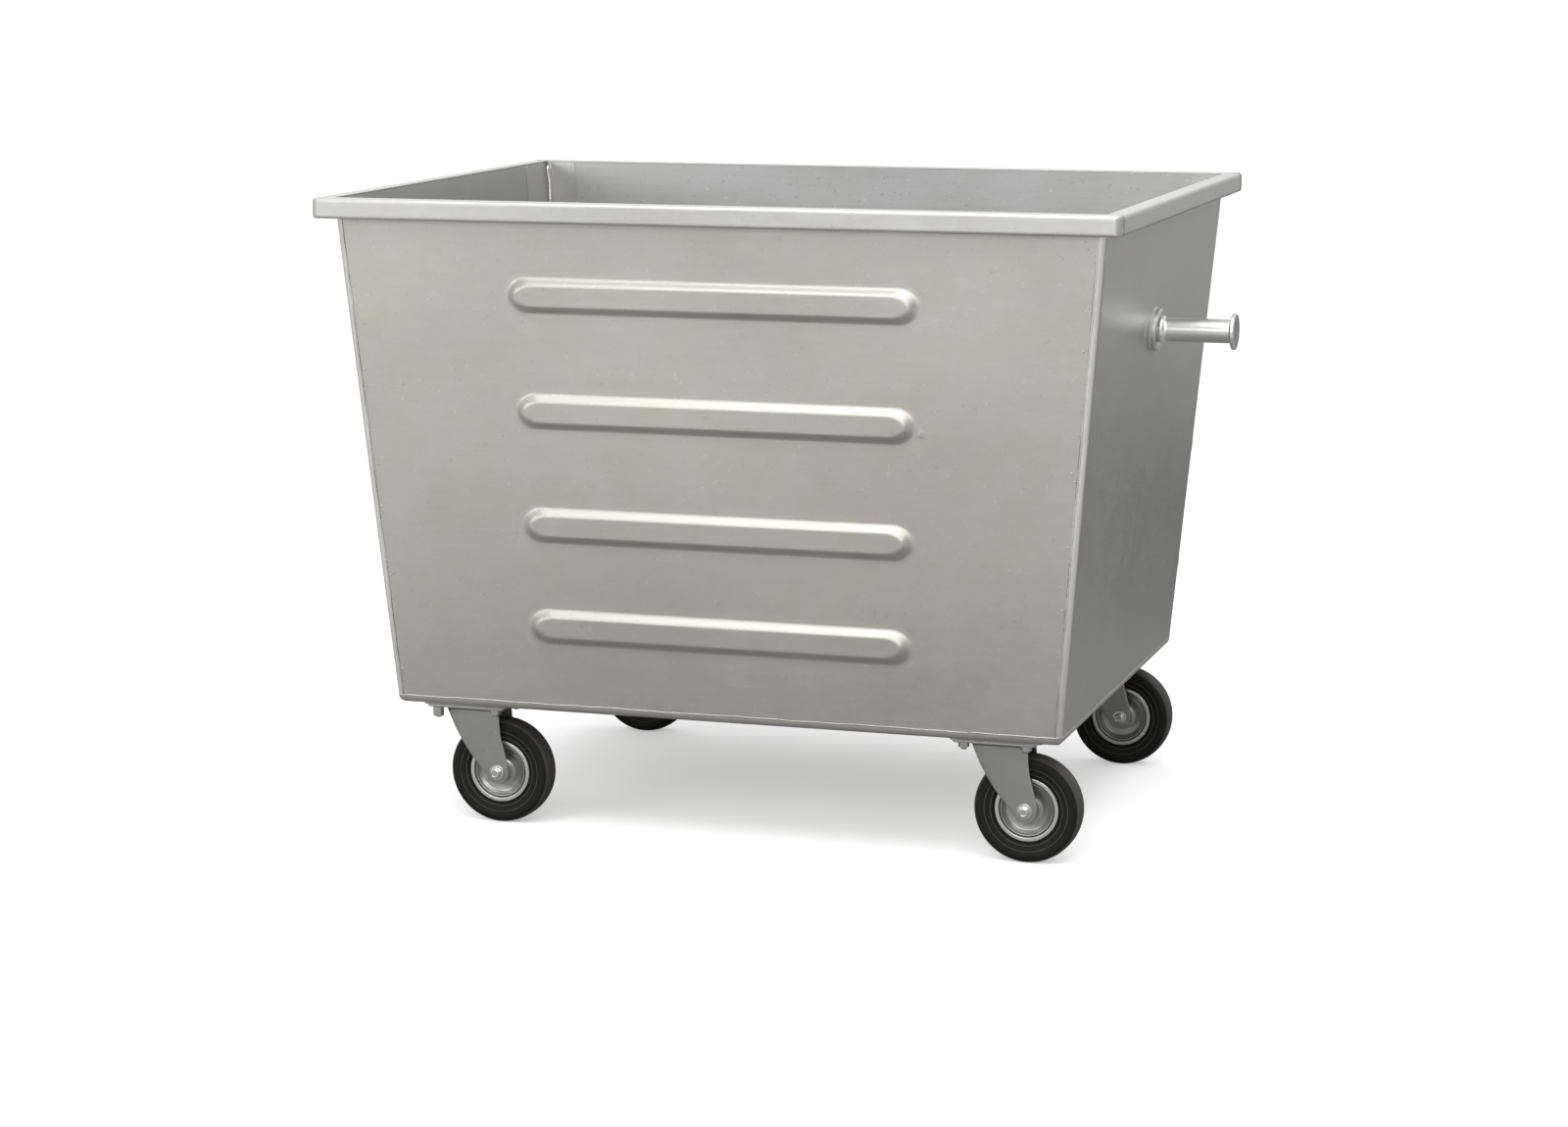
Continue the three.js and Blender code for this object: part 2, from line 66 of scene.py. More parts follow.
# ---------------------------------------------------------------- mesh helpers
def piece(name, verts, faces, mat, body, replaces=(), slot=None, sharp=34.0, smooth=True):
    """verts in mm (list or array), faces as index tuples; rides on body; stands for the CAD nodes named."""
    me = bpy.data.meshes.new(name)
    me.from_pydata([(v[0] * MM, v[1] * MM, v[2] * MM) for v in verts], [], faces)
    bm = bmesh.new()
    bm.from_mesh(me)
    bmesh.ops.remove_doubles(bm, verts=bm.verts, dist=2e-6)
    bmesh.ops.dissolve_degenerate(bm, edges=bm.edges, dist=1e-6)
    bmesh.ops.recalc_face_normals(bm, faces=bm.faces)
    bm.to_mesh(me)
    bm.free()
    me.polygons.foreach_set("use_smooth", [smooth] * len(me.polygons))
    if smooth:
        me.set_sharp_from_angle(angle=D(sharp))
    me.update()
    ob = bpy.data.objects.new(name, me)
    scene.collection.objects.link(ob)
    me.materials.append(mat)
    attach(ob, body)
    if replaces:
        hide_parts(*replaces)
    return ob


class Build:
    """collects several closed shells into one piece"""

    def __init__(self):
        self.v, self.f = [], []

    def add(self, verts, faces, matrix=None):
        base = len(self.v)
        if matrix is not None:
            verts = [tuple(matrix @ Vector(p)) for p in verts]
        self.v += [tuple(p) for p in verts]
        self.f += [tuple(base + i for i in f) for f in faces]
        return self


def loft(rings, cap=True, closed=False):
    """rings of equal length, each a closed loop of points; quads between them"""
    n = len(rings[0])
    verts = [p for r in rings for p in r]
    faces = []
    m = len(rings)
    for i in range(m if closed else m - 1):
        a, b = i * n, ((i + 1) % m) * n
        for j in range(n):
            k = (j + 1) % n
            faces.append((a + j, a + k, b + k, b + j))
    if cap and not closed:
        faces.append(tuple(range(n))[::-1])
        faces.append(tuple((m - 1) * n + j for j in range(n)))
    return verts, faces


def fillet(points, closed=True, step=16.0):
    """points (x, y) or (x, y, r): rounds the corners that have a radius"""
    out = []
    n = len(points)
    for i, p in enumerate(points):
        r = p[2] if len(p) > 2 else 0.0
        if r <= 0 or (not closed and i in (0, n - 1)):
            out.append((p[0], p[1]))
            continue
        a, b = points[i - 1], points[(i + 1) % n]
        c = Vector((p[0], p[1]))
        u, v = Vector((a[0], a[1])) - c, Vector((b[0], b[1])) - c
        lu, lv = u.length, v.length
        if lu < 1e-9 or lv < 1e-9:
            out.append((p[0], p[1]))
            continue
        u /= lu
        v /= lv
        ang = math.acos(max(-1, min(1, u.dot(v))))
        if ang > math.pi - 0.02:
            out.append((p[0], p[1]))
            continue
        t = min(r / math.tan(ang / 2), lu * 0.49, lv * 0.49)
        rr = t * math.tan(ang / 2)
        centre = c + (u + v).normalized() * (rr / math.sin(ang / 2))
        s, e = c + u * t, c + v * t
        turn = math.pi - ang
        k = max(2, int(math.ceil(math.degrees(turn) / step)))
        a0 = math.atan2(s.y - centre.y, s.x - centre.x)
        a1 = math.atan2(e.y - centre.y, e.x - centre.x)
        d = (a1 - a0 + math.pi) % (2 * math.pi) - math.pi
        for j in range(k + 1):
            w = a0 + d * j / k
            out.append((centre.x + rr * math.cos(w), centre.y + rr * math.sin(w)))
    return out


def lathe(profile, segs, closed=True, axis="y"):
    """profile of (radius, along); closed loop, or open from axis to axis"""
    verts, faces = [], []
    n = len(profile)
    for i in range(segs):
        a = 2 * math.pi * (i + 0.5) / segs
        c, s = math.cos(a), math.sin(a)
        for r, t in profile:
            if axis == "y":
                verts.append((r * c, t, r * s))
            elif axis == "z":
                verts.append((r * c, r * s, t))
            else:
                verts.append((t, r * c, r * s))
    for i in range(segs):
        a, b = i * n, ((i + 1) % segs) * n
        for j in range(n if closed else n - 1):
            k = (j + 1) % n
            faces.append((a + j, a + k, b + k, b + j))
    return verts, faces


def rounded_rect(hx, hy, r, k=6):
    pts = []
    for cx, cy, a0 in ((hx - r, hy - r, 0), (-hx + r, hy - r, 90), (-hx + r, -hy + r, 180), (hx - r, -hy + r, 270)):
        for j in range(k + 1):
            a = D(a0 + 90 * j / k)
            pts.append((cx + r * math.cos(a), cy + r * math.sin(a)))
    return pts


def plate(hx, hy, r, z0, z1, edge=0.8, k=6):
    """flat plate with rounded corners and softened edges"""
    rings = []
    prof = [(edge + 1.5, z0), (edge, z0), (edge * 0.3, z0 + edge * 0.3), (0, z0 + edge), (0, z1 - edge),
            (edge * 0.3, z1 - edge * 0.3), (edge, z1), (edge + 1.5, z1)]
    for ins, z in prof:
        rings.append([(x, y, z) for x, y in rounded_rect(hx - ins, hy - ins, max(r - ins, 0.3), k)])
    return loft(rings)


def hexnut(af, z0, z1, turn=0.0, per=5):
    """hexagon with chamfered ends, along z"""
    n = 6 * per
    rad = []
    for i in range(n):
        a = 2 * math.pi * i / n
        b = (a + math.pi / 6) % (math.pi / 3) - math.pi / 6
        rad.append(af / 2 / math.cos(b))
    rc = af / 2 * 0.965
    t = math.tan(D(30))

    def ringpts(fr, fz):
        return [(fr(rad[i]) * math.cos(2 * math.pi * i / n + turn), fr(rad[i]) * math.sin(2 * math.pi * i / n + turn), fz(rad[i]))
                for i in range(n)]
    return loft([
        ringpts(lambda r: rc * 0.8, lambda r: z0),
        ringpts(lambda r: rc, lambda r: z0),
        ringpts(lambda r: r, lambda r: z0 + (r - rc) * t),
        ringpts(lambda r: r, lambda r: z1 - (r - rc) * t),
        ringpts(lambda r: rc, lambda r: z1),
        ringpts(lambda r: rc * 0.8, lambda r: z1),
    ])


def catmull(points, per=6):
    pts = [points[0]] + list(points) + [points[-1]]
    out = []
    for i in range(1, len(pts) - 2):
        p0, p1, p2, p3 = (np.array(pts[i + j], float) for j in (-1, 0, 1, 2))
        for j in range(per):
            t = j / per
            out.append(tuple(0.5 * (2 * p1 + (p2 - p0) * t + (2 * p0 - 5 * p1 + 4 * p2 - p3) * t * t + (3 * p1 - p0 - 3 * p2 + p3) * t ** 3)))
    out.append(tuple(points[-1]))
    return out


def bead(points, normals, half_w, height, seed, ripple=3.2, rough=0.25, sink=0.5, k=6):
    """a weld bead: a low rounded strip along points, its crown along the normals"""
    rng = random.Random(seed)
    pts = [Vector(p) for p in points]
    rings = []
    run = 0.0
    ph = rng.uniform(0, 6)
    w1, h1 = 1.0, 1.0
    for i, p in enumerate(pts):
        t = (pts[min(i + 1, len(pts) - 1)] - pts[max(i - 1, 0)]).normalized()
        if i:
            run += (p - pts[i - 1]).length
        nrm = Vector(normals[i]).normalized()
        side = t.cross(nrm).normalized()
        w1 += (1 + rng.uniform(-rough, rough) - w1) * 0.35
        h1 += (1 + rng.uniform(-rough, rough) - h1) * 0.45
        rip = 1 + 0.16 * math.sin(run * 2 * math.pi / ripple + ph)
        off = side * (0.35 * half_w * math.sin(run / 37 + ph) + 0.2 * half_w * math.sin(run / 11.3 + ph * 2))
        w, h = half_w * w1, height * h1 * rip
        end = min(1.0, 0.15 + min(i, len(pts) - 1 - i) * 0.4)
        w, h = w * end, h * end
        ring = []
        for j in range(k + 1):
            a = math.pi * j / k
            ring.append(tuple(p + off + side * (w * math.cos(a)) + nrm * (h * math.sin(a))))
        ring.append(tuple(p + off - side * (w * 0.8) - nrm * sink))
        ring.append(tuple(p + off + side * (w * 0.8) - nrm * sink))
        rings.append(ring)
    return loft(rings)


def dome(b, p, nrm, r, h, n=8):
    """a small drop of zinc or spatter, standing on a surface at p"""
    nrm = Vector(nrm).normalized()
    t = nrm.orthogonal().normalized()
    s = nrm.cross(t)
    p = Vector(p)
    rings = []
    for f, g in ((0.9, -0.35), (1.0, 0.0), (0.86, 0.5), (0.5, 0.86)):
        rings.append([tuple(p + (t * math.cos(2 * math.pi * j / n) + s * math.sin(2 * math.pi * j / n)) * (r * f) + nrm * (h * g)) for j in range(n)])
    v, f = loft(rings)
    b.add(v, f)


# ---------------------------------------------------------------- materials
def new_mat(name):
    m = bpy.data.materials.new(name)
    m.use_nodes = True
    nt = m.node_tree
    nt.nodes.clear()
    return m, nt


class Nodes:
    def __init__(self, nt):
        self.nt = nt
        self.co = nt.nodes.new("ShaderNodeTexCoord").outputs["Object"]

    def link(self, a, b):
        self.nt.links.new(a, b)

    def mapped(self, scale, loc=(0, 0, 0), rot=(0, 0, 0)):
        m = self.nt.nodes.new("ShaderNodeMapping")
        m.inputs["Scale"].default_value = scale
        m.inputs["Location"].default_value = loc
        m.inputs["Rotation"].default_value = rot
        self.link(self.co, m.inputs["Vector"])
        return m.outputs["Vector"]

    def noise(self, vec, scale, detail=3.0, rough=0.55, dist=0.0):
        n = self.nt.nodes.new("ShaderNodeTexNoise")
        n.inputs["Scale"].default_value = scale
        n.inputs["Detail"].default_value = detail
        n.inputs["Roughness"].default_value = rough
        n.inputs["Distortion"].default_value = dist
        self.link(vec, n.inputs["Vector"])
        return n.outputs["Fac"]

    def voronoi(self, vec, scale, feature="F1", out="Distance", randomness=1.0):
        n = self.nt.nodes.new("ShaderNodeTexVoronoi")
        n.feature = feature
        n.inputs["Scale"].default_value = scale
        n.inputs["Randomness"].default_value = randomness
        self.link(vec, n.inputs["Vector"])
        return n.outputs[out]

    def math(self, op, a, b=None, c=None, clamp=False):
        n = self.nt.nodes.new("ShaderNodeMath")
        n.operation = op
        n.use_clamp = clamp
        for i, x in enumerate((a, b, c)):
            if x is None:
                continue
            if isinstance(x, (int, float)):
                n.inputs[i].default_value = x
            else:
                self.link(x, n.inputs[i])
        return n.outputs[0]

    def remap(self, x, lo, hi, a, b):
        n = self.nt.nodes.new("ShaderNodeMapRange")
        n.clamp = True
        n.interpolation_type = "SMOOTHSTEP"
        for i, v in zip((1, 2, 3, 4), (lo, hi, a, b)):
            n.inputs[i].default_value = v
        self.link(x, n.inputs[0])
        return n.outputs[0]

    def mix(self, fac, a, b):
        n = self.nt.nodes.new("ShaderNodeMix")
        n.data_type = "RGBA"
        n.clamp_factor = True
        if isinstance(fac, (int, float)):
            n.inputs[0].default_value = fac
        else:
            self.link(fac, n.inputs[0])
        for i, x in ((6, a), (7, b)):
            if isinstance(x, tuple):
                n.inputs[i].default_value = (*x, 1.0)
            else:
                self.link(x, n.inputs[i])
        return n.outputs[2]

    def scale_colour(self, col, fac):
        n = self.nt.nodes.new("ShaderNodeVectorMath")
        n.operation = "SCALE"
        if isinstance(col, tuple):
            n.inputs[0].default_value = col
        else:
            self.link(col, n.inputs[0])
        self.link(fac, n.inputs["Scale"])
        return n.outputs[0]

    def finish(self, colour, rough, height, metallic, bump=0.2, dist=0.0004, spec=0.5, coat=0.0, aniso=0.0):
        p = self.nt.nodes.new("ShaderNodeBsdfPrincipled")
        o = self.nt.nodes.new("ShaderNodeOutputMaterial")
        self.link(colour, p.inputs["Base Color"])
        self.link(rough, p.inputs["Roughness"])
        if isinstance(metallic, (int, float)):
            p.inputs["Metallic"].default_value = metallic
        else:
            self.link(metallic, p.inputs["Metallic"])
        p.inputs["Specular IOR Level"].default_value = spec
        p.inputs["Coat Weight"].default_value = coat
        p.inputs["Anisotropic"].default_value = aniso
        if height is not None:
            b = self.nt.nodes.new("ShaderNodeBump")
            b.inputs["Strength"].default_value = bump
            b.inputs["Distance"].default_value = dist
            self.link(height, b.inputs["Height"])
            self.link(b.outputs["Normal"], p.inputs["Normal"])
        self.link(p.outputs["BSDF"], o.inputs["Surface"])


def zinc(name, base, rough, metallic=0.92, mottle=0.09, streak=0.05, speck=0.10, shift=(0, 0, 0), bump=0.35, along=(1.0, 1.0, 26.0)):
    """hot-dip galvanised sheet: clouded tone, fine rolled streaks, spangle, small dark and bright specks"""
    m, nt = new_mat(name)
    g = Nodes(nt)
    v = g.mapped((1, 1, 1), shift)
    cloud = g.noise(v, 2.6, 4.0, 0.6, 0.4)
    patch = g.noise(v, 11.0, 3.0, 0.55, 0.6)
    lines = g.noise(g.mapped(along, shift), 9.0, 5.0, 0.65)
    fine = g.noise(g.mapped((1.0, 1.0, 3.5), shift), 190.0, 3.0, 0.6)
    span = g.voronoi(g.mapped((1.0, 1.0, 1.6), shift), 70.0, "F1", "Color")
    bw = nt.nodes.new("ShaderNodeRGBToBW")
    nt.links.new(span, bw.inputs[0])
    tone = g.math("ADD", 1.0, g.math("MULTIPLY", g.math("SUBTRACT", cloud, 0.5), mottle * 2))
    tone = g.math("ADD", tone, g.math("MULTIPLY", g.math("SUBTRACT", patch, 0.5), mottle))
    tone = g.math("ADD", tone, g.math("MULTIPLY", g.math("SUBTRACT", lines, 0.5), streak * 2))
    tone = g.math("ADD", tone, g.math("MULTIPLY", g.math("SUBTRACT", fine, 0.5), 0.10))
    tone = g.math("ADD", tone, g.math("MULTIPLY", g.math("SUBTRACT", bw.outputs[0], 0.5), 0.035))
    dots = g.noise(v, 150.0, 1.0, 0.4)
    dark = g.remap(dots, 0.70, 0.76, 0.0, speck)
    pale = g.remap(g.noise(g.mapped((1, 1, 1), (3.1, 1.7, 0.4)), 120.0, 1.0, 0.4), 0.71, 0.76, 0.0, speck)
    tone = g.math("SUBTRACT", tone, dark)
    tone = g.math("ADD", tone, pale)
    warm = g.mix(g.remap(patch, 0.3, 0.7, 0.0, 1.0), (base[0] * 1.006, base[1], base[2] * 0.985), (base[0] * 0.994, base[1], base[2] * 1.012))
    colour = g.scale_colour(warm, tone)
    rr = g.math("ADD", rough, g.math("MULTIPLY", g.math("SUBTRACT", cloud, 0.5), 0.16))
    rr = g.math("ADD", rr, g.math("MULTIPLY", g.math("SUBTRACT", lines, 0.5), 0.12))
    rr = g.math("ADD", rr, g.math("MULTIPLY", g.math("SUBTRACT", bw.outputs[0], 0.5), 0.05), clamp=True)
    h = g.math("ADD", g.math("MULTIPLY", fine, 0.5), g.math("MULTIPLY", lines, 0.5))
    h = g.math("ADD", h, g.math("MULTIPLY", patch, 0.8))
    g.finish(colour, rr, h, metallic, bump, 0.00035)
    return m


def steel(name, base, rough, turned=None, shift=(0, 0, 0), metallic=0.95, wear=0.06):
    """zinc-plated or turned steel: faint tool or roll marks, small stains"""
    m, nt = new_mat(name)
    g = Nodes(nt)
    v = g.mapped((1, 1, 1), shift)
    cloud = g.noise(v, 14.0, 4.0, 0.6, 0.3)
    if turned == "x":
        lines = g.noise(g.mapped((600.0, 2.0, 2.0), shift), 1.0, 4.0, 0.6)
    else:
        lines = g.noise(g.mapped((40.0, 40.0, 500.0), shift), 1.0, 4.0, 0.6)
    stain = g.remap(g.noise(v, 55.0, 5.0, 0.65, 0.5), 0.55, 0.72, 0.0, 1.0)
    fine = g.noise(v, 420.0, 2.0, 0.5)
    tone = g.math("ADD", 1.0, g.math("MULTIPLY", g.math("SUBTRACT", cloud, 0.5), 0.16))
    tone = g.math("ADD", tone, g.math("MULTIPLY", g.math("SUBTRACT", lines, 0.5), 0.12))
    tone = g.math("ADD", tone, g.math("MULTIPLY", g.math("SUBTRACT", fine, 0.5), 0.08))
    tone = g.math("SUBTRACT", tone, g.math("MULTIPLY", stain, wear))
    warm = g.mix(cloud, (base[0] * 1.01, base[1], base[2] * 0.97), (base[0] * 0.99, base[1], base[2] * 1.02))
    colour = g.scale_colour(warm, tone)
    rr = g.math("ADD", rough, g.math("MULTIPLY", g.math("SUBTRACT", cloud, 0.5), 0.14))
    rr = g.math("ADD", rr, g.math("MULTIPLY", stain, 0.08), clamp=True)
    h = g.math("ADD", g.math("MULTIPLY", lines, 0.6), g.math("MULTIPLY", fine, 0.4))
    g.finish(colour, rr, h, metallic, 0.25, 0.00012)
    return m


def rubber(name, clean, dusty):
    """black solid rubber: dusty, scuffed on the tread, matt with a soft sheen on the sidewall"""
    m, nt = new_mat(name)
    g = Nodes(nt)
    v = g.mapped((1, 1, 1))
    cloud = g.noise(v, 22.0, 4.0, 0.6, 0.4)
    fine = g.noise(v, 520.0, 3.0, 0.6)
    scuff = g.remap(g.noise(g.mapped((1, 3, 1)), 38.0, 5.0, 0.7, 0.8), 0.52, 0.75, 0.0, 1.0)
    dust = g.math("MULTIPLY", scuff, 0.35)
    dust = g.math("ADD", dust, g.math("MULTIPLY", cloud, 0.25), clamp=True)
    colour = g.mix(dust, clean, dusty)
    colour = g.scale_colour(colour, g.math("ADD", 0.82, g.math("MULTIPLY", fine, 0.36)))
    rr = g.math("ADD", 0.62, g.math("MULTIPLY", dust, 0.3), clamp=True)
    h = g.math("ADD", g.math("MULTIPLY", fine, 0.7), g.math("MULTIPLY", scuff, 0.6))
    g.finish(colour, rr, h, 0.0, 0.35, 0.0002, spec=0.22)
    return m


WALL = (0.500, 0.484, 0.440)
mat_front = zinc("zinc_front", WALL, 0.46, shift=(0, 0, 0))
mat_rear = zinc("zinc_rear", WALL, 0.46, shift=(4.2, 1.1, 2.3))
mat_side = zinc("zinc_side", (0.50, 0.498, 0.478), 0.40, shift=(1.4, 7.3, 0.9))
# painted shade: the inside faces of the walls get a darker copy of the zinc; its stronger mottle and specks are wear
mat_inside_wear_and_painted_shade = zinc("zinc_inside_wear_and_painted_shade", (0.405, 0.408, 0.402), 0.44, mottle=0.16, streak=0.08, speck=0.22, shift=(3.1, 2.7, 5.9), bump=0.6)
mat_lip = zinc("zinc_lip", (0.74, 0.73, 0.69), 0.38, mottle=0.08, shift=(6.4, 1.3, 0.9))
mat_floor_pan = zinc("zinc_floor_pan", WALL, 0.50, mottle=0.13, shift=(2.2, 5.3, 6.1), along=(1.0, 20.0, 6.0))
# painted shade: the corner strips and backing plates inside the bin get a darker zinc, like the inside walls
mat_strip_painted_shade = zinc("zinc_strip_painted_shade", (0.42, 0.417, 0.40), 0.36, mottle=0.12, shift=(8.2, 3.3, 4.1))
mat_rim = zinc("zinc_rim", (0.53, 0.527, 0.502), 0.46, mottle=0.08, streak=0.04, shift=(5.5, 2.1, 3.3))
mat_weld = zinc("zinc_weld", (0.58, 0.575, 0.55), 0.34, mottle=0.3, streak=0.0, speck=0.25, shift=(9.1, 0.3, 1.2), bump=0.7)
mat_plate = steel("plated_plate", (0.52, 0.52, 0.495), 0.36, wear=0.16)
mat_fork = steel("plated_fork", (0.42, 0.424, 0.40), 0.40, wear=0.10)
mat_wheel = steel("plated_wheel", (0.50, 0.50, 0.478), 0.34, wear=0.18)
mat_flange = steel("plated_flange", (0.62, 0.62, 0.595), 0.34, wear=0.10)
mat_pin = steel("turned_pin", (0.80, 0.80, 0.775), 0.32, turned="x", wear=0.05)
mat_bolt = steel("turned_bolt", (0.74, 0.74, 0.715), 0.26, wear=0.14)
# near-black: a real dark weld at the rim joints, and also painted shade in the groove next to the lifting pin's end
# and in the groove of the wheel disc
mat_dark_weld_and_painted_shade = steel("dull_weld_and_painted_shade", (0.07, 0.07, 0.067), 0.50, wear=0.2)
# painted highlight: a brighter copy of the wheel's plated steel, for its flat lip ring and the hub round the bore
mat_wheel_lip_highlight = steel("plated_wheel_lip_painted_highlight", (0.80, 0.80, 0.775), 0.36, wear=0.10)
# painted highlight: a brighter copy of the rim zinc, for the flat top of the rim
mat_rim_top_highlight = zinc("zinc_rim_top_painted_highlight", (0.70, 0.697, 0.668), 0.40, mottle=0.08, streak=0.04, shift=(1.5, 4.1, 7.3))
# painted shade: a darker copy of the turned pin steel, for the flat end face of the lifting pin
mat_cap_painted_shade = steel("turned_cap_painted_shade", (0.33, 0.33, 0.318), 0.42, wear=0.10)
mat_race = steel("turned_race", (0.36, 0.36, 0.34), 0.34, wear=0.25)
mat_tyre = rubber("rubber_tyre", (0.0085, 0.0085, 0.0073), (0.026, 0.0255, 0.0225))
mat_tread = rubber("rubber_tread", (0.062, 0.060, 0.054), (0.115, 0.113, 0.103))
# painted highlight: a lighter copy of the black rubber, for the moulded rings on the sidewall
mat_ring_highlight = rubber("rubber_ring_painted_highlight", (0.060, 0.059, 0.053), (0.095, 0.094, 0.085))

# ---------------------------------------------------------------- sheet metal: front and rear
rngs = np.random.RandomState(7311)


def warp_field(seed, lx, lz, amp):
    """slow waves of a sheet that is never quite flat"""
    r = np.random.RandomState(seed)
    terms = [(r.uniform(0.6, 3.2), r.uniform(0.5, 2.6), r.uniform(0, 6.28), r.uniform(0, 6.28), r.uniform(0.4, 1.0)) for _ in range(7)]

    def f(x, z):
        s = np.zeros_like(x)
        for a, b, p, q, w in terms:
            s += w / (a + b) * np.sin(a * math.pi * x / lx + p) * np.sin(b * math.pi * z / lz + q)
        return amp * s
    return f


def rib_t(a, b, hl):
    """0 at the foot of a pressed rib, 1 at the edge of its flat, negative outside"""
    a, b = np.abs(a), np.abs(b)
    lo = np.full(a.shape, -1.2)
    hi = np.full(a.shape, 1.7)
    for _ in range(22):
        t = (lo + hi) / 2
        sx, sy = 1 - t * RIB_RAMP / hl, 1 - t * (RIB_H - RIB_FLAT) / RIB_H
        dx = np.maximum(a / sx - (hl - RIB_END), 0)
        inside = (dx / RIB_END) ** 2 + (b / sy / RIB_H) ** 2 < 1
        lo = np.where(inside, t, lo)
        hi = np.where(inside, hi, t)
    return (lo + hi) / 2


def smooth01(t):
    t = np.clip(t, 0, 1)
    return t * t * (3 - 2 * t)


def panel(name, node, turned, mat, seed, dents):
    z_lo, z_hi = SEAM + 0.3, TOP
    zs = {z_lo, z_lo + 2, z_hi - 2, z_hi}
    for zc, _ in RIBS:
        for sgn in (-1, 1):
            for k in range(13):
                zs.add(zc + sgn * (14.6 + k * 1.45))
        for k in range(-3, 4):
            zs.add(zc + k * 3.9)
    zs = sorted(zs)
    full = [zs[0]]
    for z in zs[1:]:
        gap = z - full[-1]
        n = max(1, int(round(gap / 15)))
        start = full[-1]
        for k in range(1, n + 1):
            full.append(start + gap * k / n)
    zs = np.array(full)
    xs = list(np.linspace(0, 286, 17)) + list(np.arange(288, 359, 1.9)) + list(np.linspace(366, 520, 12))
    xs = sorted(set([-x for x in xs] + xs))
    edge = [0.25, 0.5, 0.75, 0.93, 0.975, 1.0]
    cols = [("e", -f) for f in reversed(edge)] + [("x", x) for x in xs] + [("e", f) for f in edge]
    X = np.zeros((len(zs), len(cols)))
    for j, (kind, val) in enumerate(cols):
        if kind == "x":
            X[:, j] = val
        else:
            lim = half_l(zs) - 12.5 - 1.1
            X[:, j] = math.copysign(1, val) * (520 + abs(val) * (lim - 520))
    Z = np.repeat(zs[:, None], len(cols), axis=1)
    H = np.zeros_like(X)
    nn = math.hypot(1, SLY)
    for zc, hl in RIBS:
        b = (Z - zc) * nn
        t = rib_t(X, b, hl)
        H += RIB_DEPTH * smooth01((t + 0.3) / 1.62)
        # the sheet pulls in a little beside the pressing
        H -= 0.35 * np.exp(-((t + 0.75) / 0.45) ** 2) * (t < 0.1)
    lim = half_l(Z) - 12.8
    win = smooth01((lim - np.abs(X)) / 90) * smooth01((Z - z_lo) / 70) * smooth01((z_hi - 34 - Z) / 50)
    H += warp_field(seed, 640, 420, 1.0)(X, Z) * win
    for dx, dz, r, depth in dents:
        H += depth * np.exp(-(((X - dx) / r[0]) ** 2 + ((Z - dz) / r[1]) ** 2))
    ny, nz = -1 / nn, -SLY / nn

    def surf(h):
        Y = -half_d(Z) + ny * h
        return X, Y, Z + nz * h
    flip = -1 if turned else 1
    verts = []
    for h in (H, H - SHEET):
        a, b, c = surf(h)
        verts += list(zip((a * flip).ravel().tolist(), (b * flip).ravel().tolist(), c.ravel().tolist()))
    R, C = X.shape
    faces = []
    n = R * C
    for i in range(R - 1):
        for j in range(C - 1):
            a = i * C + j
            faces.append((a, a + 1, a + C + 1, a + C))
            faces.append((n + a, n + a + C, n + a + C + 1, n + a + 1))
    for i in range(R - 1):
        for j in (0, C - 1):
            a = i * C + j
            q = (a, a + C, n + a + C, n + a)
            faces.append(q if j == 0 else q[::-1])
    for j in range(C - 1):
        for i in (0, R - 1):
            a = i * C + j
            q = (a, n + a, n + a + 1, a + 1)
            faces.append(q if i == 0 else q[::-1])
    ob = piece(name, verts, faces, mat, "container", [node], "wall_zinc", sharp=50)
    ob.data.materials.append(mat_inside_wear_and_painted_shade)
    # inward faces take the darker inside zinc: painted shade
    for poly in ob.data.polygons:
        if poly.normal.y * (-1 if turned else 1) > 0.5:
            poly.material_index = 1
    return ob


panel("front_sheet", "front_panel", False, mat_front, 21,
      [(352, 716, (5, 6), 1.5), (-250, 820, (70, 40), -0.5), (455, 470, (60, 90), 0.6), (-480, 640, (50, 110), 0.6)])
panel("rear_sheet", "rear_panel", True, mat_rear, 35, [(120, 820, (80, 50), -0.6), (-420, 500, (60, 90), 0.7)])


# ---------------------------------------------------------------- side sheets with their bent corners
def wrap_path(lx, ly, r, lip, inset, cuts):
    """plan of a side sheet at one height: lip, bend, wall, bend, lip (right side)"""
    pts = [(lx - lip, -ly + inset)]
    for k in range(10):
        a = D(-90 + 10 * k)
        pts.append((lx - r + (r - inset) * math.cos(a), -ly + r + (r - inset) * math.sin(a)))
    y0, y1 = -ly + r + 1.5, ly - r - 1.5
    for c in cuts:
        pts.append((lx - inset, y0 + (y1 - y0) * c))
    for k in range(10):
        a = D(10 * k)
        pts.append((lx - r + (r - inset) * math.cos(a), ly - r + (r - inset) * math.sin(a)))
    pts.append((lx - lip, ly - inset))
    return pts


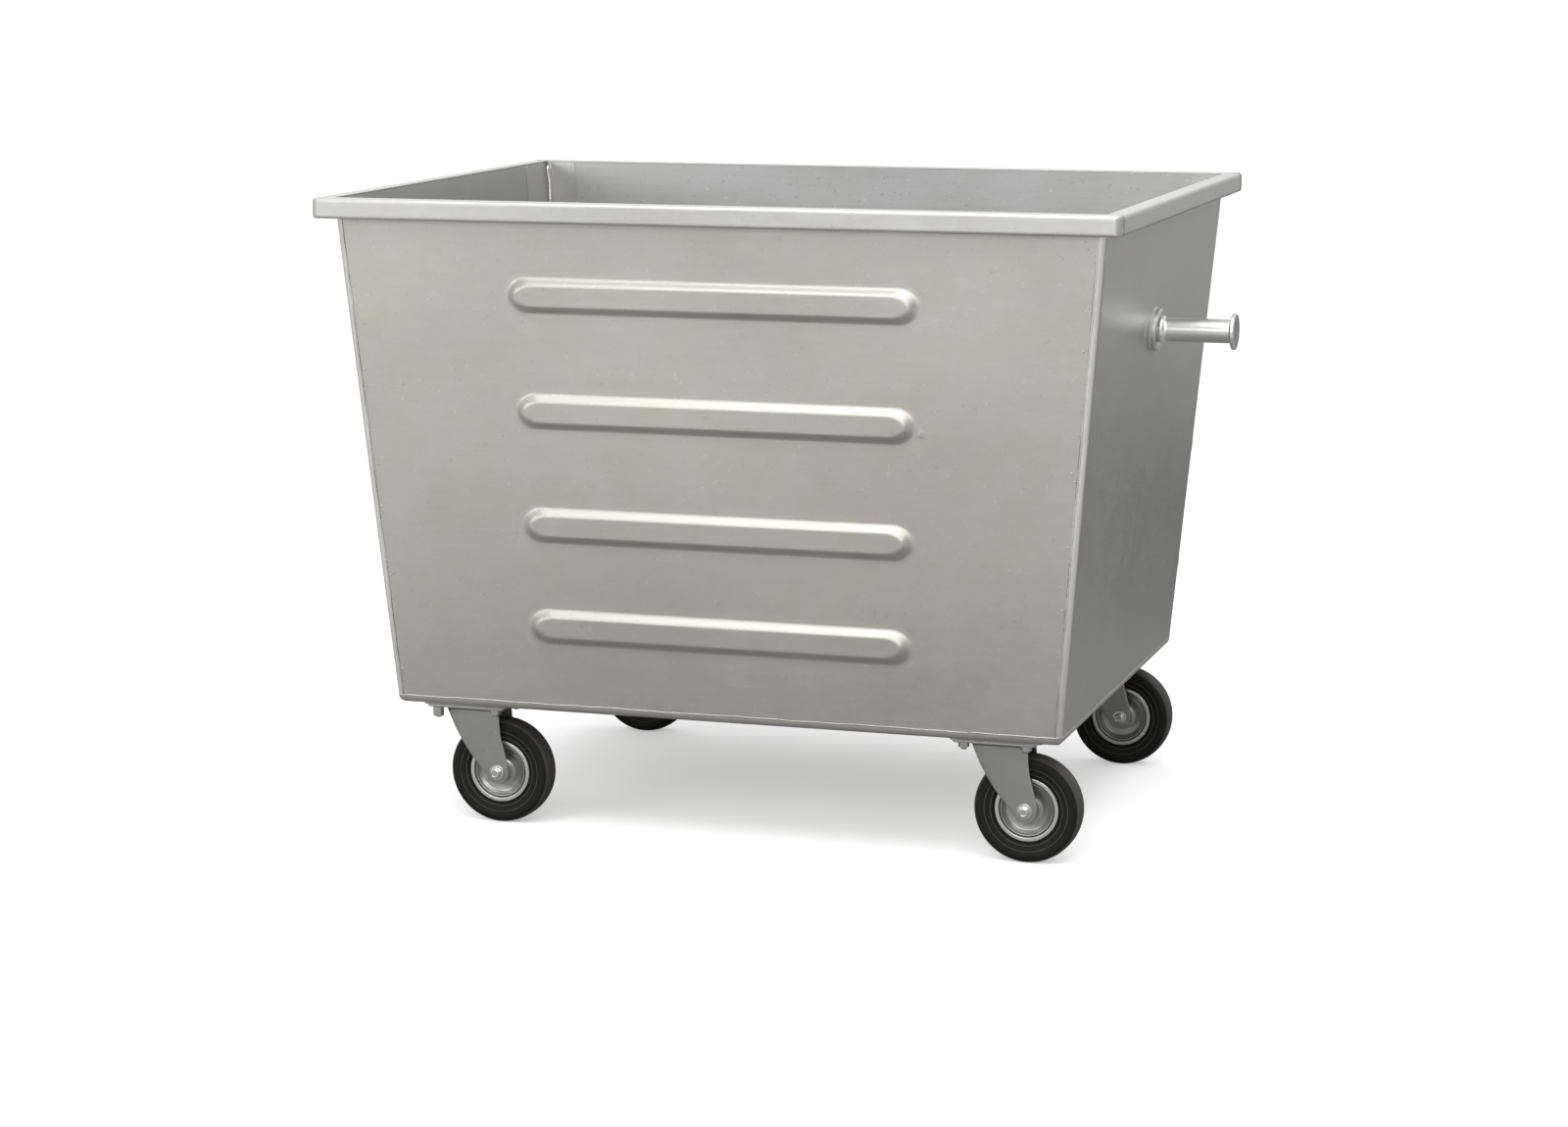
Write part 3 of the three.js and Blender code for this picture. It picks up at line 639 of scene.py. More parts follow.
def side_sheet(name, node, turned, seed):
    cuts = list(np.linspace(0, 1, 34))
    zs = [SEAM + 0.3] + list(np.linspace(SEAM + 3, TOP - 3, 44)) + [TOP]
    warp = warp_field(seed, 430, 420, 0.9)
    rings = []
    for z in zs:
        lx, ly = half_l(z), half_d(z)
        out, inn = wrap_path(lx, ly, 12, 12.5, 0, cuts), wrap_path(lx, ly, 12, 12.5, SHEET, cuts)
        ring = []
        for (x, y), keep in [(p, 0) for p in out] + [(p, 1) for p in reversed(inn)]:
            win = smooth01(np.array((ly - abs(y) - 12) / 90.0)) * smooth01(np.array((z - SEAM) / 70)) * smooth01(np.array((TOP - 34 - z) / 50))
            w = float(warp(np.array(y, float), np.array(z, float)) * win)
            ring.append((x + w, y, z))
        if turned:
            ring = [(-x, -y, zz) for x, y, zz in ring]
        rings.append(ring)
    ob = piece(name, *loft(rings, cap=False), mat_side, "container", [node], "wall_zinc", sharp=50)
    ob.data.materials.append(mat_inside_wear_and_painted_shade)
    ob.data.materials.append(mat_lip)
    # inward faces take the darker inside zinc (painted shade); the lips take the pale lip zinc
    for poly in ob.data.polygons:
        c, nv = poly.center, poly.normal
        inward = nv.x * c.x < 0 if abs(nv.x) > 0.5 else nv.y * c.y < 0
        if inward:
            poly.material_index = 1
        elif abs(nv.y) > 0.55:
            poly.material_index = 2
    return ob


def close_ends(verts, faces, n, m):
    """strip caps for a loft whose rings are a path out and the same path back"""
    h = n // 2
    for base, flipf in ((0, False), ((m - 1) * n, True)):
        for j in range(h - 1):
            q = (base + j, base + j + 1, base + n - 2 - j, base + n - 1 - j)
            faces.append(q if flipf else q[::-1])
    return verts, faces


_loft = loft


def loft(rings, cap=True, closed=False):
    if cap is False and not closed:
        v, f = _loft(rings, False, False)
        return close_ends(v, f, len(rings[0]), len(rings))
    return _loft(rings, cap, closed)


side_sheet("right_side_sheet", "right_side_panel", False, 51)
side_sheet("left_side_sheet", "left_side_panel", True, 77)


# ---------------------------------------------------------------- floor pan
def pan():
    rings = []

    def ring(ins, z):
        s = z - Z0
        return [(x + math.copysign(SLX * s, x), y + math.copysign(SLY * s, y), z) for x, y in rounded_rect(L0 - ins, D0 - ins, max(12 - ins, 1.2), 8)]
    for k in range(9):
        a = D(90 * k / 8)
        rings.append(ring(10.5 * (1 - math.sin(a)), Z0 + 10.5 * (1 - math.cos(a))))
    rings.insert(0, ring(13.5, Z0))
    rings.append(ring(0, SEAM))
    rings.append(ring(2, SEAM))
    for k in range(8, -1, -1):
        a = D(90 * k / 8)
        rings.append(ring(2 + 8.5 * (1 - math.sin(a)), Z0 + 2 + 8.5 * (1 - math.cos(a))))
    rings.append(ring(13.5, Z0 + 2))
    return _loft(rings)


piece("floor_sheet", *pan(), mat_floor_pan, "container", ["floor_pan"], "wall_zinc", sharp=50)

# ---------------------------------------------------------------- rim
RX, RY, RR = 685.0, 516.0, 14.0
QX, QY = half_l(1076) - 2, half_d(1076) - 2
WX, WY = half_l(1043), half_d(1043)
JOINT_Y = 500.0
EDGE, EDGE_IN = 6.0, 4.0
ZT, ZB = 1076.0, 1042.0


def rim_section():
    """pairs (outer, inner) across the folded channel; kinds: q = towards the mouth, d = depth from the face, w = towards the wall"""
    out = [("q", 0.0, ZT - 1.0), ("q", 0.25, ZT - 0.3), ("q", 1.0, ZT), ("q", 3.0, ZT), ("d", EDGE + 1.5, ZT)]
    inn = [("q", 0.0, ZT - 1.7), ("q", 0.1, ZT - 1.9), ("q", 1.0, ZT - 2), ("q", 3.0, ZT - 2), ("d", EDGE + 1.5, ZT - 2)]
    for k in range(9):
        a = D(90 * k / 8)
        out.append(("d", EDGE - EDGE * math.sin(a), ZT - EDGE + EDGE * math.cos(a)))
        inn.append(("d", EDGE - EDGE_IN * math.sin(a), ZT - EDGE + EDGE_IN * math.cos(a)))
    for z in (ZT - 7.5, (ZT + ZB) / 2, ZB + 7.5):
        out.append(("d", 0, z))
        inn.append(("d", 2, z))
    for k in range(9):
        a = D(90 * k / 8)
        out.append(("d", EDGE - EDGE * math.cos(a), ZB + EDGE - EDGE * math.sin(a)))
        inn.append(("d", EDGE - EDGE_IN * math.cos(a), ZB + EDGE - EDGE_IN * math.sin(a)))
    out += [("d", EDGE + 1.5, ZB), ("w", 0.5, ZB), ("w", 0.0, ZB + 0.4)]
    inn += [("d", EDGE + 1.5, ZB + 2), ("w", 0.5, ZB + 2), ("w", 0.0, ZB + 1.6)]
    return out, inn


def rim_ring(p, nrm, q, w, sec, wave=0.0, shrink=0.0):
    out, inn = sec
    p, nrm, q, w = Vector(p), Vector(nrm), Vector(q), Vector(w)
    base = p - nrm * (EDGE + 1.5)
    ring = []
    for i, (kind, val, z) in enumerate(out + inn[::-1]):
        skin = shrink if i < len(out) else 0.0
        if kind == "d":
            c = p - nrm * (val + (skin if val < EDGE else 0.0)) + nrm * wave * (1 if val < EDGE - 1 else 0)
        elif kind == "q":
            u = base - q
            c = q + u.normalized() * val if u.length > 0 else q
        else:
            u = base - w
            c = w + u.normalized() * val if u.length > 0 else w
        if skin:
            z = z - skin * smooth_step((z - (ZT - EDGE)) / EDGE) + skin * smooth_step(((ZB + EDGE) - z) / EDGE)
        ring.append((c.x, c.y, z))
    return ring


def smooth_step(t):
    t = max(0.0, min(1.0, t))
    return t * t * (3 - 2 * t)


def paint_rim_top_highlight(ob):
    """painted highlight: the flat top of the rim gets a brighter colour than its faces"""
    ob.data.materials.append(mat_rim_top_highlight)
    for poly in ob.data.polygons:
        if poly.normal.z > 0.72 and poly.center.z > (ZT - 3.0) * MM:
            poly.material_index = 1
    return ob


def rim_long(name, node, turned, mat, seed):
    sec = rim_section()
    st = []
    arc_w = lambda deg: (WX - 12 + 12.3 * math.cos(D(deg)), -(WY - 12) + 12.3 * math.sin(D(deg)))
    r = random.Random(seed)
    half = []
    for x in list(np.linspace(0, 640, 17)) + [650, 656.0]:
        wv = 0.35 * math.sin(x / 97 + seed) + 0.2 * math.sin(x / 41 + 2 * seed)
        wpt = (x, -(WY + 0.3)) if x <= WX - 12 else arc_w(-90 + (x - WX + 12) / 45 * 45)
        half.append(((x, -RY), (0, -1), (min(x, QX), -QY), wpt, wv))
    for x in (662, 667, 669.8):
        half.append(((x, -RY), (0, -1), (QX, -QY), arc_w(-90 + (x - WX + 12) / 45 * 45), 0))
    for k in range(0, 10):
        a = D(-90 + 10 * k)
        half.append(((RX - RR + RR * math.cos(a), -RY + RR + RR * math.sin(a)), (math.cos(a), math.sin(a)), (QX, -QY), arc_w(-58 + 13 * k / 9), 0))
    # the end at the joint: everything lies on the joint line
    rings = []
    for p, nrm, q, w, wv in half:
        rings.append(rim_ring(p, nrm, q, w, sec, wv))
    for back, sk in ((3.4, 0.0), (2.4, 0.25), (1.7, 1.1)):
        last = []
        for (x, y, z) in rim_ring((RX, -JOINT_Y), (1, 0), (QX, -QY), arc_w(-45), sec, 0, sk):
            f = (x - QX) / (RX - QX)
            yy = -(QY + f * (JOINT_Y - QY)) - back * max(0.0, min(1.0, f * 3))
            last.append((x, yy if x > WX - 1 else y, z))
        rings.append(last)
    mirrored = [[(-x, y, z) for x, y, z in ring] for ring in rings[1:]][::-1]
    rings = mirrored + rings
    if turned:
        rings = [[(-x, -y, z) for x, y, z in ring] for ring in rings]
    return paint_rim_top_highlight(piece(name, *loft(rings, cap=False), mat, "container", [node], "rim_zinc", sharp=42))


def rim_side(name, node, turned, mat, seed):
    sec = rim_section()
    rings = []
    ys = [-JOINT_Y, -JOINT_Y, -JOINT_Y, -494, -486, -480, -474] + list(np.linspace(-460, 460, 21)) + [474, 480, 486, 494, JOINT_Y, JOINT_Y, JOINT_Y]
    for i, y in enumerate(ys):
        a = min(abs(y), WY)
        if a > WY - 12:
            s = min(1.0, (a - (WY - 12)) / 12.3)
            deg = min(45.0, math.degrees(math.asin(s)))
            w = (WX - 12 + 12.3 * math.cos(D(deg)), math.copysign(WY - 12 + 12.3 * math.sin(D(deg)), y))
        else:
            w = (WX + 0.3, y)
        q = (QX, max(-QY + 0.36, min(QY - 0.36, y)))
        wv = 0.3 * math.sin(y / 83 + seed) * (1 if 5 < i < len(ys) - 6 else 0)
        edge_i = min(i, len(ys) - 1 - i)
        sk = (1.1, 0.25, 0.0)[edge_i] if edge_i < 3 else 0.0
        back = (2.3, 3.0, 4.0)[edge_i] if edge_i < 3 else 4.0
        ring = []
        for (x, yy, z) in rim_ring((RX, y), (1, 0), q, w, sec, wv, sk):
            f = max(0.0, (x - QX) / (RX - QX))
            lim = QY + f * (JOINT_Y - QY) - 0.36 - (back - 0.36) * min(1.0, f * 3)
            ring.append((x, max(-lim, min(lim, yy)), z))
        rings.append(ring)
    if turned:
        rings = [[(-x, -y, z) for x, y, z in ring] for ring in rings]
    return paint_rim_top_highlight(piece(name, *loft(rings, cap=False), mat, "container", [node], "rim_zinc", sharp=42))


rim_long("rim_channel_front", "rim_front", False, mat_rim, 1)
rim_long("rim_channel_rear", "rim_rear", True, mat_rim, 2)
rim_side("rim_channel_right", "rim_right", False, mat_rim, 3)
rim_side("rim_channel_left", "rim_left", True, mat_rim, 4)


# ---------------------------------------------------------------- inside corner strips
def strip(name, node, sx, sy, seed):
    g = SHEET + 0.3
    rings = []
    rr = random.Random(seed)
    for z in [232.0, 233.5] + list(np.linspace(250, 1056, 40)) + [1071.5, 1073.0]:
        lx, ly = half_l(z) - g, half_d(z) - g
        e = 1.2 if z in (232.0, 1073.0) else 0.0
        wob = 0.5 * math.sin(z / 61 + seed)

        def path(ins):
            r = 9.7 - ins
            pts = [(lx - 56 + e, -ly + ins), (lx - 40, -ly + ins), (lx - 9.7 - 2, -ly + ins)]
            for k in range(10):
                a = D(-90 + 10 * k)
                pts.append((lx - 9.7 + r * math.cos(a), -ly + 9.7 + r * math.sin(a)))
            pts += [(lx - ins, -ly + 9.7 + 2), (lx - ins, -ly + 60), (lx - ins, -ly + 110 - e)]
            return pts
        out, inn = path(0), path(2.0)
        ring = [(x * sx if True else x, y * (-sy), z) for x, y in out] + [(x * sx, y * (-sy), z) for x, y in reversed(inn)]
        rings.append(ring)
    return piece(name, *loft(rings, cap=False), mat_strip_painted_shade, "container", [node], "wall_zinc", sharp=50)


for nm, sx, sy in (("front_left", -1, -1), ("front_right", 1, -1), ("rear_left", -1, 1), ("rear_right", 1, 1)):
    strip("inside_corner_" + nm, "corner_strip_" + nm, sx, sy, hash((sx, sy)) % 7 + 1)


# ---------------------------------------------------------------- welds, spatter and zinc drops
def seam_beads():
    rr = random.Random(99)
    for ysgn, tag in ((-1, "front"), (1, "rear")):
        for xsgn, side in ((-1, "left"), (1, "right")):
            pts, nrm = [], []
            z = SEAM + 1
            while z < 1041:
                pts.append((xsgn * (half_l(z) - 11.7), ysgn * (half_d(z)), z))
                nrm.append((0, ysgn, -SLY))
                z += 2.4
            b = Build()
            b.add(*bead(pts, nrm, 1.7, 0.7, 11 + ysgn + 3 * xsgn, 3.4, 0.5))
            # spatter near the seam
            for _ in range(110):
                zz = rr.uniform(235, 1035)
                off = rr.gauss(0, 7)
                xx = xsgn * (half_l(zz) - 12.65 - abs(off) * (1 if rr.random() < 0.85 else -0.4))
                if abs(xx) > half_l(zz) - 12.2:
                    continue
                r = rr.uniform(0.4, 1.0) if rr.random() < 0.85 else rr.uniform(1.1, 1.9)
                dome(b, (xx, ysgn * half_d(zz), zz), (0, ysgn, -SLY), r, r * 0.6, 7)
            piece("seam_weld_%s_%s" % (tag, side), b.v, b.f, mat_weld, "container", slot="wall_zinc", sharp=60)
    # round the foot of the walls
    b = Build()
    zb = SEAM + 0.15
    lx, ly = half_l(zb), half_d(zb)
    loop = []
    out = rounded_rect(lx, ly, 12, 6)
    for i, p in enumerate(out):
        q = out[(i + 1) % len(out)]
        d = math.hypot(q[0] - p[0], q[1] - p[1])
        k = max(1, int(d / 2.6))
        for j in range(k):
            loop.append((p[0] + (q[0] - p[0]) * j / k, p[1] + (q[1] - p[1]) * j / k))
    n = len(loop)
    cuts = [0, n // 4, n // 2, 3 * n // 4, n]
    for a, c in zip(cuts[:-1], cuts[1:]):
        pts = [(*loop[i % n], zb) for i in range(a, c + 1)]
        nrm = []
        for i in range(a, c + 1):
            p, q = loop[(i - 1) % n], loop[(i + 1) % n]
            nrm.append((q[1] - p[1], -(q[0] - p[0]), -0.08 * math.hypot(q[0] - p[0], q[1] - p[1])))
        b.add(*bead(pts, nrm, 1.3, 0.5, 500 + a, 3.1, 0.4))
    for _ in range(260):
        i = rr.randrange(n)
        x, y = loop[i]
        z = zb + abs(rr.gauss(0, 7)) + 1
        s = z - zb
        nx, ny = (math.copysign(1, x), 0) if abs(abs(x) - lx) < 0.5 else (0, math.copysign(1, y))
        if abs(abs(x) - lx) > 0.5 and abs(abs(y) - ly) > 0.5:
            continue
        r = rr.uniform(0.3, 0.8)
        dome(b, (x + nx * SLX * s, y + ny * SLY * s, z), (nx, ny, 0), r, r * 0.55, 7)
    piece("seam_weld_foot", b.v, b.f, mat_weld, "container", slot="wall_zinc", sharp=60)
    # drops and spatter under the rim, and at its corner joints
    b = Build()
    for ysgn in (-1, 1):
        for _ in range(46):
            x = rr.choice([rr.uniform(-640, -480), rr.uniform(-640, 640), rr.uniform(480, 635)])
            z = 1041 - abs(rr.gauss(0, 5)) - 1.5
            r = rr.uniform(0.5, 1.3)
            dome(b, (x, ysgn * half_d(z), z), (0, ysgn, 0), r, r * 0.6, 7)
    for xsgn in (-1, 1):
        for _ in range(26):
            y = rr.uniform(-470, 470)
            z = 1041 - abs(rr.gauss(0, 5)) - 1.5
            r = rr.uniform(0.4, 1.1)
            dome(b, (xsgn * half_l(z), y, z), (xsgn, 0, 0), r, r * 0.6, 7)
    piece("rim_spatter", b.v, b.f, mat_weld, "container", slot="wall_zinc", sharp=60)
    # joint welds: along the outside of each joint line on the rim top, ground low
    for xs in (-1, 1):
        for ys in (-1, 1):
            b = Build()
            a = Vector((xs * (QX + 1.2), ys * (QY + 0.9), ZT - 0.05))
            c = Vector((xs * (RX - 12), ys * (QY + (RX - 12 - QX) / (RX - QX) * (JOINT_Y - QY)), ZT - 0.05))
            k = 16
            pts = [a.lerp(c, i / k) for i in range(k + 1)]
            pts = [(p.x, p.y + ys * 0.4, p.z) for p in pts]
            b.add(*bead(pts, [(0, 0, 1)] * len(pts), 1.5, 0.35, 70 + xs + 3 * ys, 3.0, 0.5, 0.3))
            for _ in range(14):
                t = rr.random()
                p = a.lerp(c, t)
                r = rr.uniform(0.4, 1.0)
                dome(b, (p.x + rr.gauss(0, 3) * 0.5, p.y + ys * rr.uniform(0.5, 5), ZT), (0, 0, 1), r, r * 0.5, 7)
            piece("rim_joint_weld_%s_%s" % ("front" if ys < 0 else "rear", "left" if xs < 0 else "right"),
                  b.v, b.f, mat_weld, "container", slot="rim_zinc", sharp=60)
            # the joint runs on down the face of the channel: a dull weld beside a pale edge
            for tag, yc, hw, hh, mt in (("seam", JOINT_Y + 0.6, 3.8, 0.5, mat_dark_weld_and_painted_shade), ("lip", JOINT_Y + 5.0, 1.2, 0.5, mat_lip)):
                pts, nrm = [(xs * (RX - 13), ys * yc, ZT - 0.1)], [(0, 0, 1)]
                for i in range(7):
                    a = D(15 * i)
                    pts.append((xs * (RX - EDGE + (EDGE - 0.1) * math.sin(a)), ys * yc, ZT - EDGE + (EDGE - 0.1) * math.cos(a)))
                    nrm.append((xs * math.sin(a), 0, math.cos(a)))
                for i in range(1, 9):
                    pts.append((xs * (RX - 0.1), ys * yc, ZT - EDGE - (ZT - ZB - 2 * EDGE) * i / 9))
                    nrm.append((xs, 0, 0))
                for i in range(7):
                    a = D(15 * i)
                    pts.append((xs * (RX - EDGE + (EDGE - 0.1) * math.cos(a)), ys * yc, ZB + EDGE - (EDGE - 0.1) * math.sin(a)))
                    nrm.append((xs * math.cos(a), 0, -math.sin(a)))
                b = Build()
                b.add(*bead(pts, nrm, hw, hh, 300 + xs + 3 * ys, 3.0, 0.25, 0.4))
                piece("rim_joint_%s_%s_%s" % (tag, "front" if ys < 0 else "rear", "left" if xs < 0 else "right"),
                      b.v, b.f, mt, "container", slot="rim_zinc", sharp=60)
    # inside: tacks along the corner strips' edges
    for nm, sx, sy in (("front_left", -1, -1), ("front_right", 1, -1), ("rear_left", -1, 1), ("rear_right", 1, 1)):
        b = Build()
        z = 262.0
        while z < 1050:
            for kind in (0, 1):
                z1 = z + rr.uniform(22, 34)
                pts, nrm = [], []
                zz = z
                while zz < z1:
                    lx, ly = half_l(zz) - 2, half_d(zz) - 2
                    if kind == 0:
                        pts.append((sx * (lx - 56.4), sy * (ly - 0.2), zz))
                        nrm.append((-sx * 0.7, -sy, 0))
                    else:
                        pts.append((sx * (lx - 0.2), sy * (ly - 110.4), zz))
                        nrm.append((-sx, -sy * 0.7, 0))
                    zz += 2.4
                b.add(*bead(pts, nrm, 2.4, 1.6, int(z) + kind, 3.3))
            z += 118
        # the corner itself is filled with a run of weld
        pts, nrm = [], []
        zz = 234.0
        while zz < 1071:
            lx, ly = half_l(zz) - 4.3 - 2.0, half_d(zz) - 4.3 - 2.0
            pts.append((sx * lx, sy * ly, zz))
            nrm.append((-sx, -sy, 0))
            zz += 3.0
        b.add(*bead(pts, nrm, 5.6, 2.6, 900 + sx + 3 * sy, 5.0, 0.12, 2.0, 8))
        # drips at the top of the strip
        for _ in range(12):
            zz = 1072 - abs(rr.gauss(0, 4))
            lx, ly = half_l(zz) - 4.3, half_d(zz) - 4.3
            if rr.random() < 0.6:
                dome(b, (sx * (lx - rr.uniform(12, 54)), sy * ly, zz), (0, -sy, 0), rr.uniform(0.7, 1.8), rr.uniform(0.4, 1.0), 8)
            else:
                dome(b, (sx * lx, sy * (ly - rr.uniform(12, 108)), zz), (-sx, 0, 0), rr.uniform(0.7, 1.8), rr.uniform(0.4, 1.0), 8)
        piece("inside_tacks_" + nm, b.v, b.f, mat_weld, "container", slot="wall_zinc", sharp=60)


seam_beads()

# ---------------------------------------------------------------- lifting trunnions
TY, TZ, TEND = -26.4, 847.2, 778.1
TILT = math.atan(SLX)


def trunnion(side, sgn):
    base = Matrix.Translation((sgn * half_l(TZ), TY, TZ)) @ Matrix.Rotation(math.pi if sgn < 0 else 0, 4, "Z")
    lean = base @ Matrix.Rotation(TILT, 4, "Y")
    length = TEND - half_l(TZ)
    s0 = 2.4
    cs = 10.6 / math.cos(TILT) + 24 * SLX + 0.3
    prof = fillet([
        (0, s0), (20, s0), (20, cs - 0.5), (23.2, cs - 0.5, 0.6), (24.1, cs + 1.6, 1.5), (23.0, cs + 5.0, 4), (20.6, cs + 8.0, 3), (20, cs + 12.0, 4),
        (20, length - 7 - 2.2, 2.4), (22.2, length - 7, 1.2), (29.6, length - 7, 1.0), (31, length - 5.8, 1.0), (31, length - 1.6, 1.2), (29.2, length, 1.2),
        (27.4, length - 0.0), (26.6, length - 0.45, 0.4), (8, length - 0.45), (0, length - 0.45)], closed=False, step=14)
    b = Build().add(*lathe(prof, 72, False, "x"), matrix=base)
    ob = piece("lifting_pin_" + side, b.v, b.f, mat_pin, "container", ["trunnion_pin_" + side], "turned_steel", sharp=38)
    ob.data.materials.append(mat_cap_painted_shade)
    ob.data.materials.append(mat_dark_weld_and_painted_shade)
    # painted shade: the flat end face of the pin gets the darker cap copy of the steel, and the faces of the groove
    # just before it get near-black
    for poly in ob.data.polygons:
        c = poly.center
        r = math.hypot(c.y - TY * MM, c.z - TZ * MM) / MM
        if abs(poly.normal.x) > 0.9 and abs(c.x) > (TEND - 1.4) * MM and r < 27.5:
            poly.material_index = 1
        elif (TEND - 9.3) * MM < abs(c.x) < (TEND - 6.6) * MM and r < 26:
            poly.material_index = 2
    prof = fillet([(20.5, 0.6), (36, 0.6), (36, 8.2, 2.2), (33.6, 10.6, 1.6), (21.5, 10.6), (20.5, 10.0)], closed=True, step=14)
    b = Build().add(*lathe(prof, 80, True, "x"), matrix=lean)
    piece("pin_flange_" + side, b.v, b.f, mat_flange, "container", ["trunnion_flange_" + side], "plated_steel", sharp=38)
    # weld round the flange and round the pin
    b = Build()
    k = 110
    pts, nrm = [], []
    for i in range(k + 1):
        a = 2 * math.pi * i / k
        pts.append(tuple(lean @ Vector((0.4, 36.3 * math.cos(a), 36.3 * math.sin(a)))))
        nrm.append(tuple((lean.to_3x3() @ Vector((1, 0.9 * math.cos(a), 0.9 * math.sin(a))))))
    b.add(*bead(pts, nrm, 2.6, 1.5, 31 + sgn, 3.4))
    piece("pin_weld_" + side, b.v, b.f, mat_weld, "container", slot="wall_zinc", sharp=60)
    # plate inside the wall, welded round its edge
    v, f = plate(70, 70, 10, 0, 4, 1.0, 6)
    inner = base @ Matrix.Rotation(TILT, 4, "Y") @ Matrix.Translation((-2.6 - 4, 0, 0)) @ Matrix.Rotation(math.pi / 2, 4, "Y")
    b = Build().add(v, f, matrix=inner)
    piece("backing_plate_" + side, b.v, b.f, mat_strip_painted_shade, "container", ["trunnion_backing_" + side], "wall_zinc", sharp=38)
    b = Build()
    out = rounded_rect(70.6, 70.6, 10.6, 6)
    loop = []
    for i, p in enumerate(out):
        q = out[(i + 1) % len(out)]
        d = math.hypot(q[0] - p[0], q[1] - p[1])
        kk = max(1, int(d / 2.6))
        for j in range(kk):
            loop.append((p[0] + (q[0] - p[0]) * j / kk, p[1] + (q[1] - p[1]) * j / kk))
    loop.append(loop[0])
    pts, nrm = [], []
    lean_in = base @ Matrix.Rotation(TILT, 4, "Y") @ Matrix.Translation((-2.3, 0, 0))
    for i, (u, w) in enumerate(loop):
        d = Vector((u, w)).normalized()
        pts.append(tuple(lean_in @ Vector((0, u, w))))
        nrm.append(tuple(lean_in.to_3x3() @ Vector((-1, d.x * 0.8, d.y * 0.8))))
    b.add(*bead(pts, nrm, 2.8, 2.0, 61 + sgn, 3.4))
    piece("backing_weld_" + side, b.v, b.f, mat_weld, "container", slot="wall_zinc", sharp=60)


trunnion("right", 1)
trunnion("left", -1)

# ---------------------------------------------------------------- castors
FORK_LEFT = [(-45, 203), (-34.5, 178), (-25.5, 159), (-6, 126.6), (11.5, 105), (28.3, 84.6)]
FORK_RIGHT = [(66.9, 104), (60, 130), (54, 156), (50.2, 203)]


def fork_mesh():
    left = catmull(FORK_LEFT, 5)[::-1]
    right = catmull(FORK_RIGHT, 5)
    lz, lx = [p[1] for p in left], [p[0] for p in left]
    rz, rx = [p[1] for p in right], [p[0] for p in right]

    def bounds_at(z):
        c = math.sqrt(max(0.0, 400 - (z - 90) ** 2))
        if z <= 82.6:
            xl = 47 - c
        else:
            xl = float(np.interp(z, [82.6] + lz, [28.4] + lx))
        if z <= 91:
            xr = 47 + c
        else:
            xr = float(np.interp(z, [91.0] + rz, [66.97] + rx))
        return xl, xr
    zs = [90 - 20 * math.cos(D(a)) for a in (2.5, 8, 14, 21, 28, 36, 44, 52, 60, 67.5)] + [84.6, 87, 90, 92, 95, 99, 104] + list(np.linspace(109, 192, 19)) + [194.5]
    rows = []
    for z in zs:
        rows.append(((-31.5, z), (-28.0, z), z))
    for k in range(1, 7):
        a = D(90 * k / 6)
        z = 194.5 + 6 * math.sin(a)
        rows.append(((-25.5 - 6 * math.cos(a), z), (-25.5 - 2.5 * math.cos(a), 194.0 + 2.5 * math.sin(a)), z))
    for y in (-22, -12, 0):
        rows.append(((y, 200.5), (y, 196.5), 200.5))
    rows += [((-o[0], o[1]), (-i[0], i[1]), z) for o, i, z in rows[-2::-1]]
    rings = []
    for (oy, oz), (iy, iz), z in rows:
        xl, xr = bounds_at(z)
        e = min(0.9, (xr - xl) * 0.4)
        th = 3.5

        def at(x, t):
            f = t / th
            return (x, oy + (iy - oy) * f, oz + (iz - oz) * f)
        ring = []
        for f in (0, 0.08, 0.35, 0.65, 0.92, 1):
            ring.append(at(xl + e + (xr - xl - 2 * e) * f, 0))
        ring += [at(xr - e * 0.3, e * 0.3), at(xr, e), at(xr, th - e), at(xr - e * 0.3, th - e * 0.3)]
        for f in (1, 0.92, 0.65, 0.35, 0.08, 0):
            ring.append(at(xl + e + (xr - xl - 2 * e) * f, th))
        ring += [at(xl + e * 0.3, th - e * 0.3), at(xl, th - e), at(xl, e), at(xl + e * 0.3, e * 0.3)]
        rings.append(ring)
    return _loft(rings)


def wheel_rim_mesh():
    half = [(17.5, 5.6), (22, 6.0, 2), (35, 7.6, 4), (42.6, 11.4, 2), (46.2, 13.0, 1), (50.4, 15.4, 1), (51.5, 7.0), (54, 7.0), (54, 18.4, 1.0), (53.0, 19.5, 0.8),
            (48.0, 19.5, 0.8), (46.9, 18.2, 0.5), (46.5, 15.7, 0.3), (45.2, 15.7, 0.3), (44.7, 17.5, 0.4), (43.2, 17.2, 0.8), (41.0, 14.6, 1.5), (36.0, 10.9, 3), (25.5, 9.0, 3),
            (21.6, 9.6, 1.5), (19.2, 11.8, 1.5), (17.9, 15, 1), (17.5, 25.0, 0.6), (16.9, 25.7, 0.4), (14.8, 25.7, 0.3), (14.4, 24.3, 0.3), (12.9, 24.3, 0.3), (12.6, 25.5, 0.3), (10.9, 25.5, 0.3), (10.5, 25.0)]
    neg = [(p[0], -p[1]) + tuple(p[2:]) for p in half][::-1]
    # from the bore on +y, down the bore, out on -y, back inside
    outer_pos = half[6:]
    closed = half[::1]
    prof = [*closed, *neg]
    return lathe(fillet(prof, True, 18), 96, True, "y")


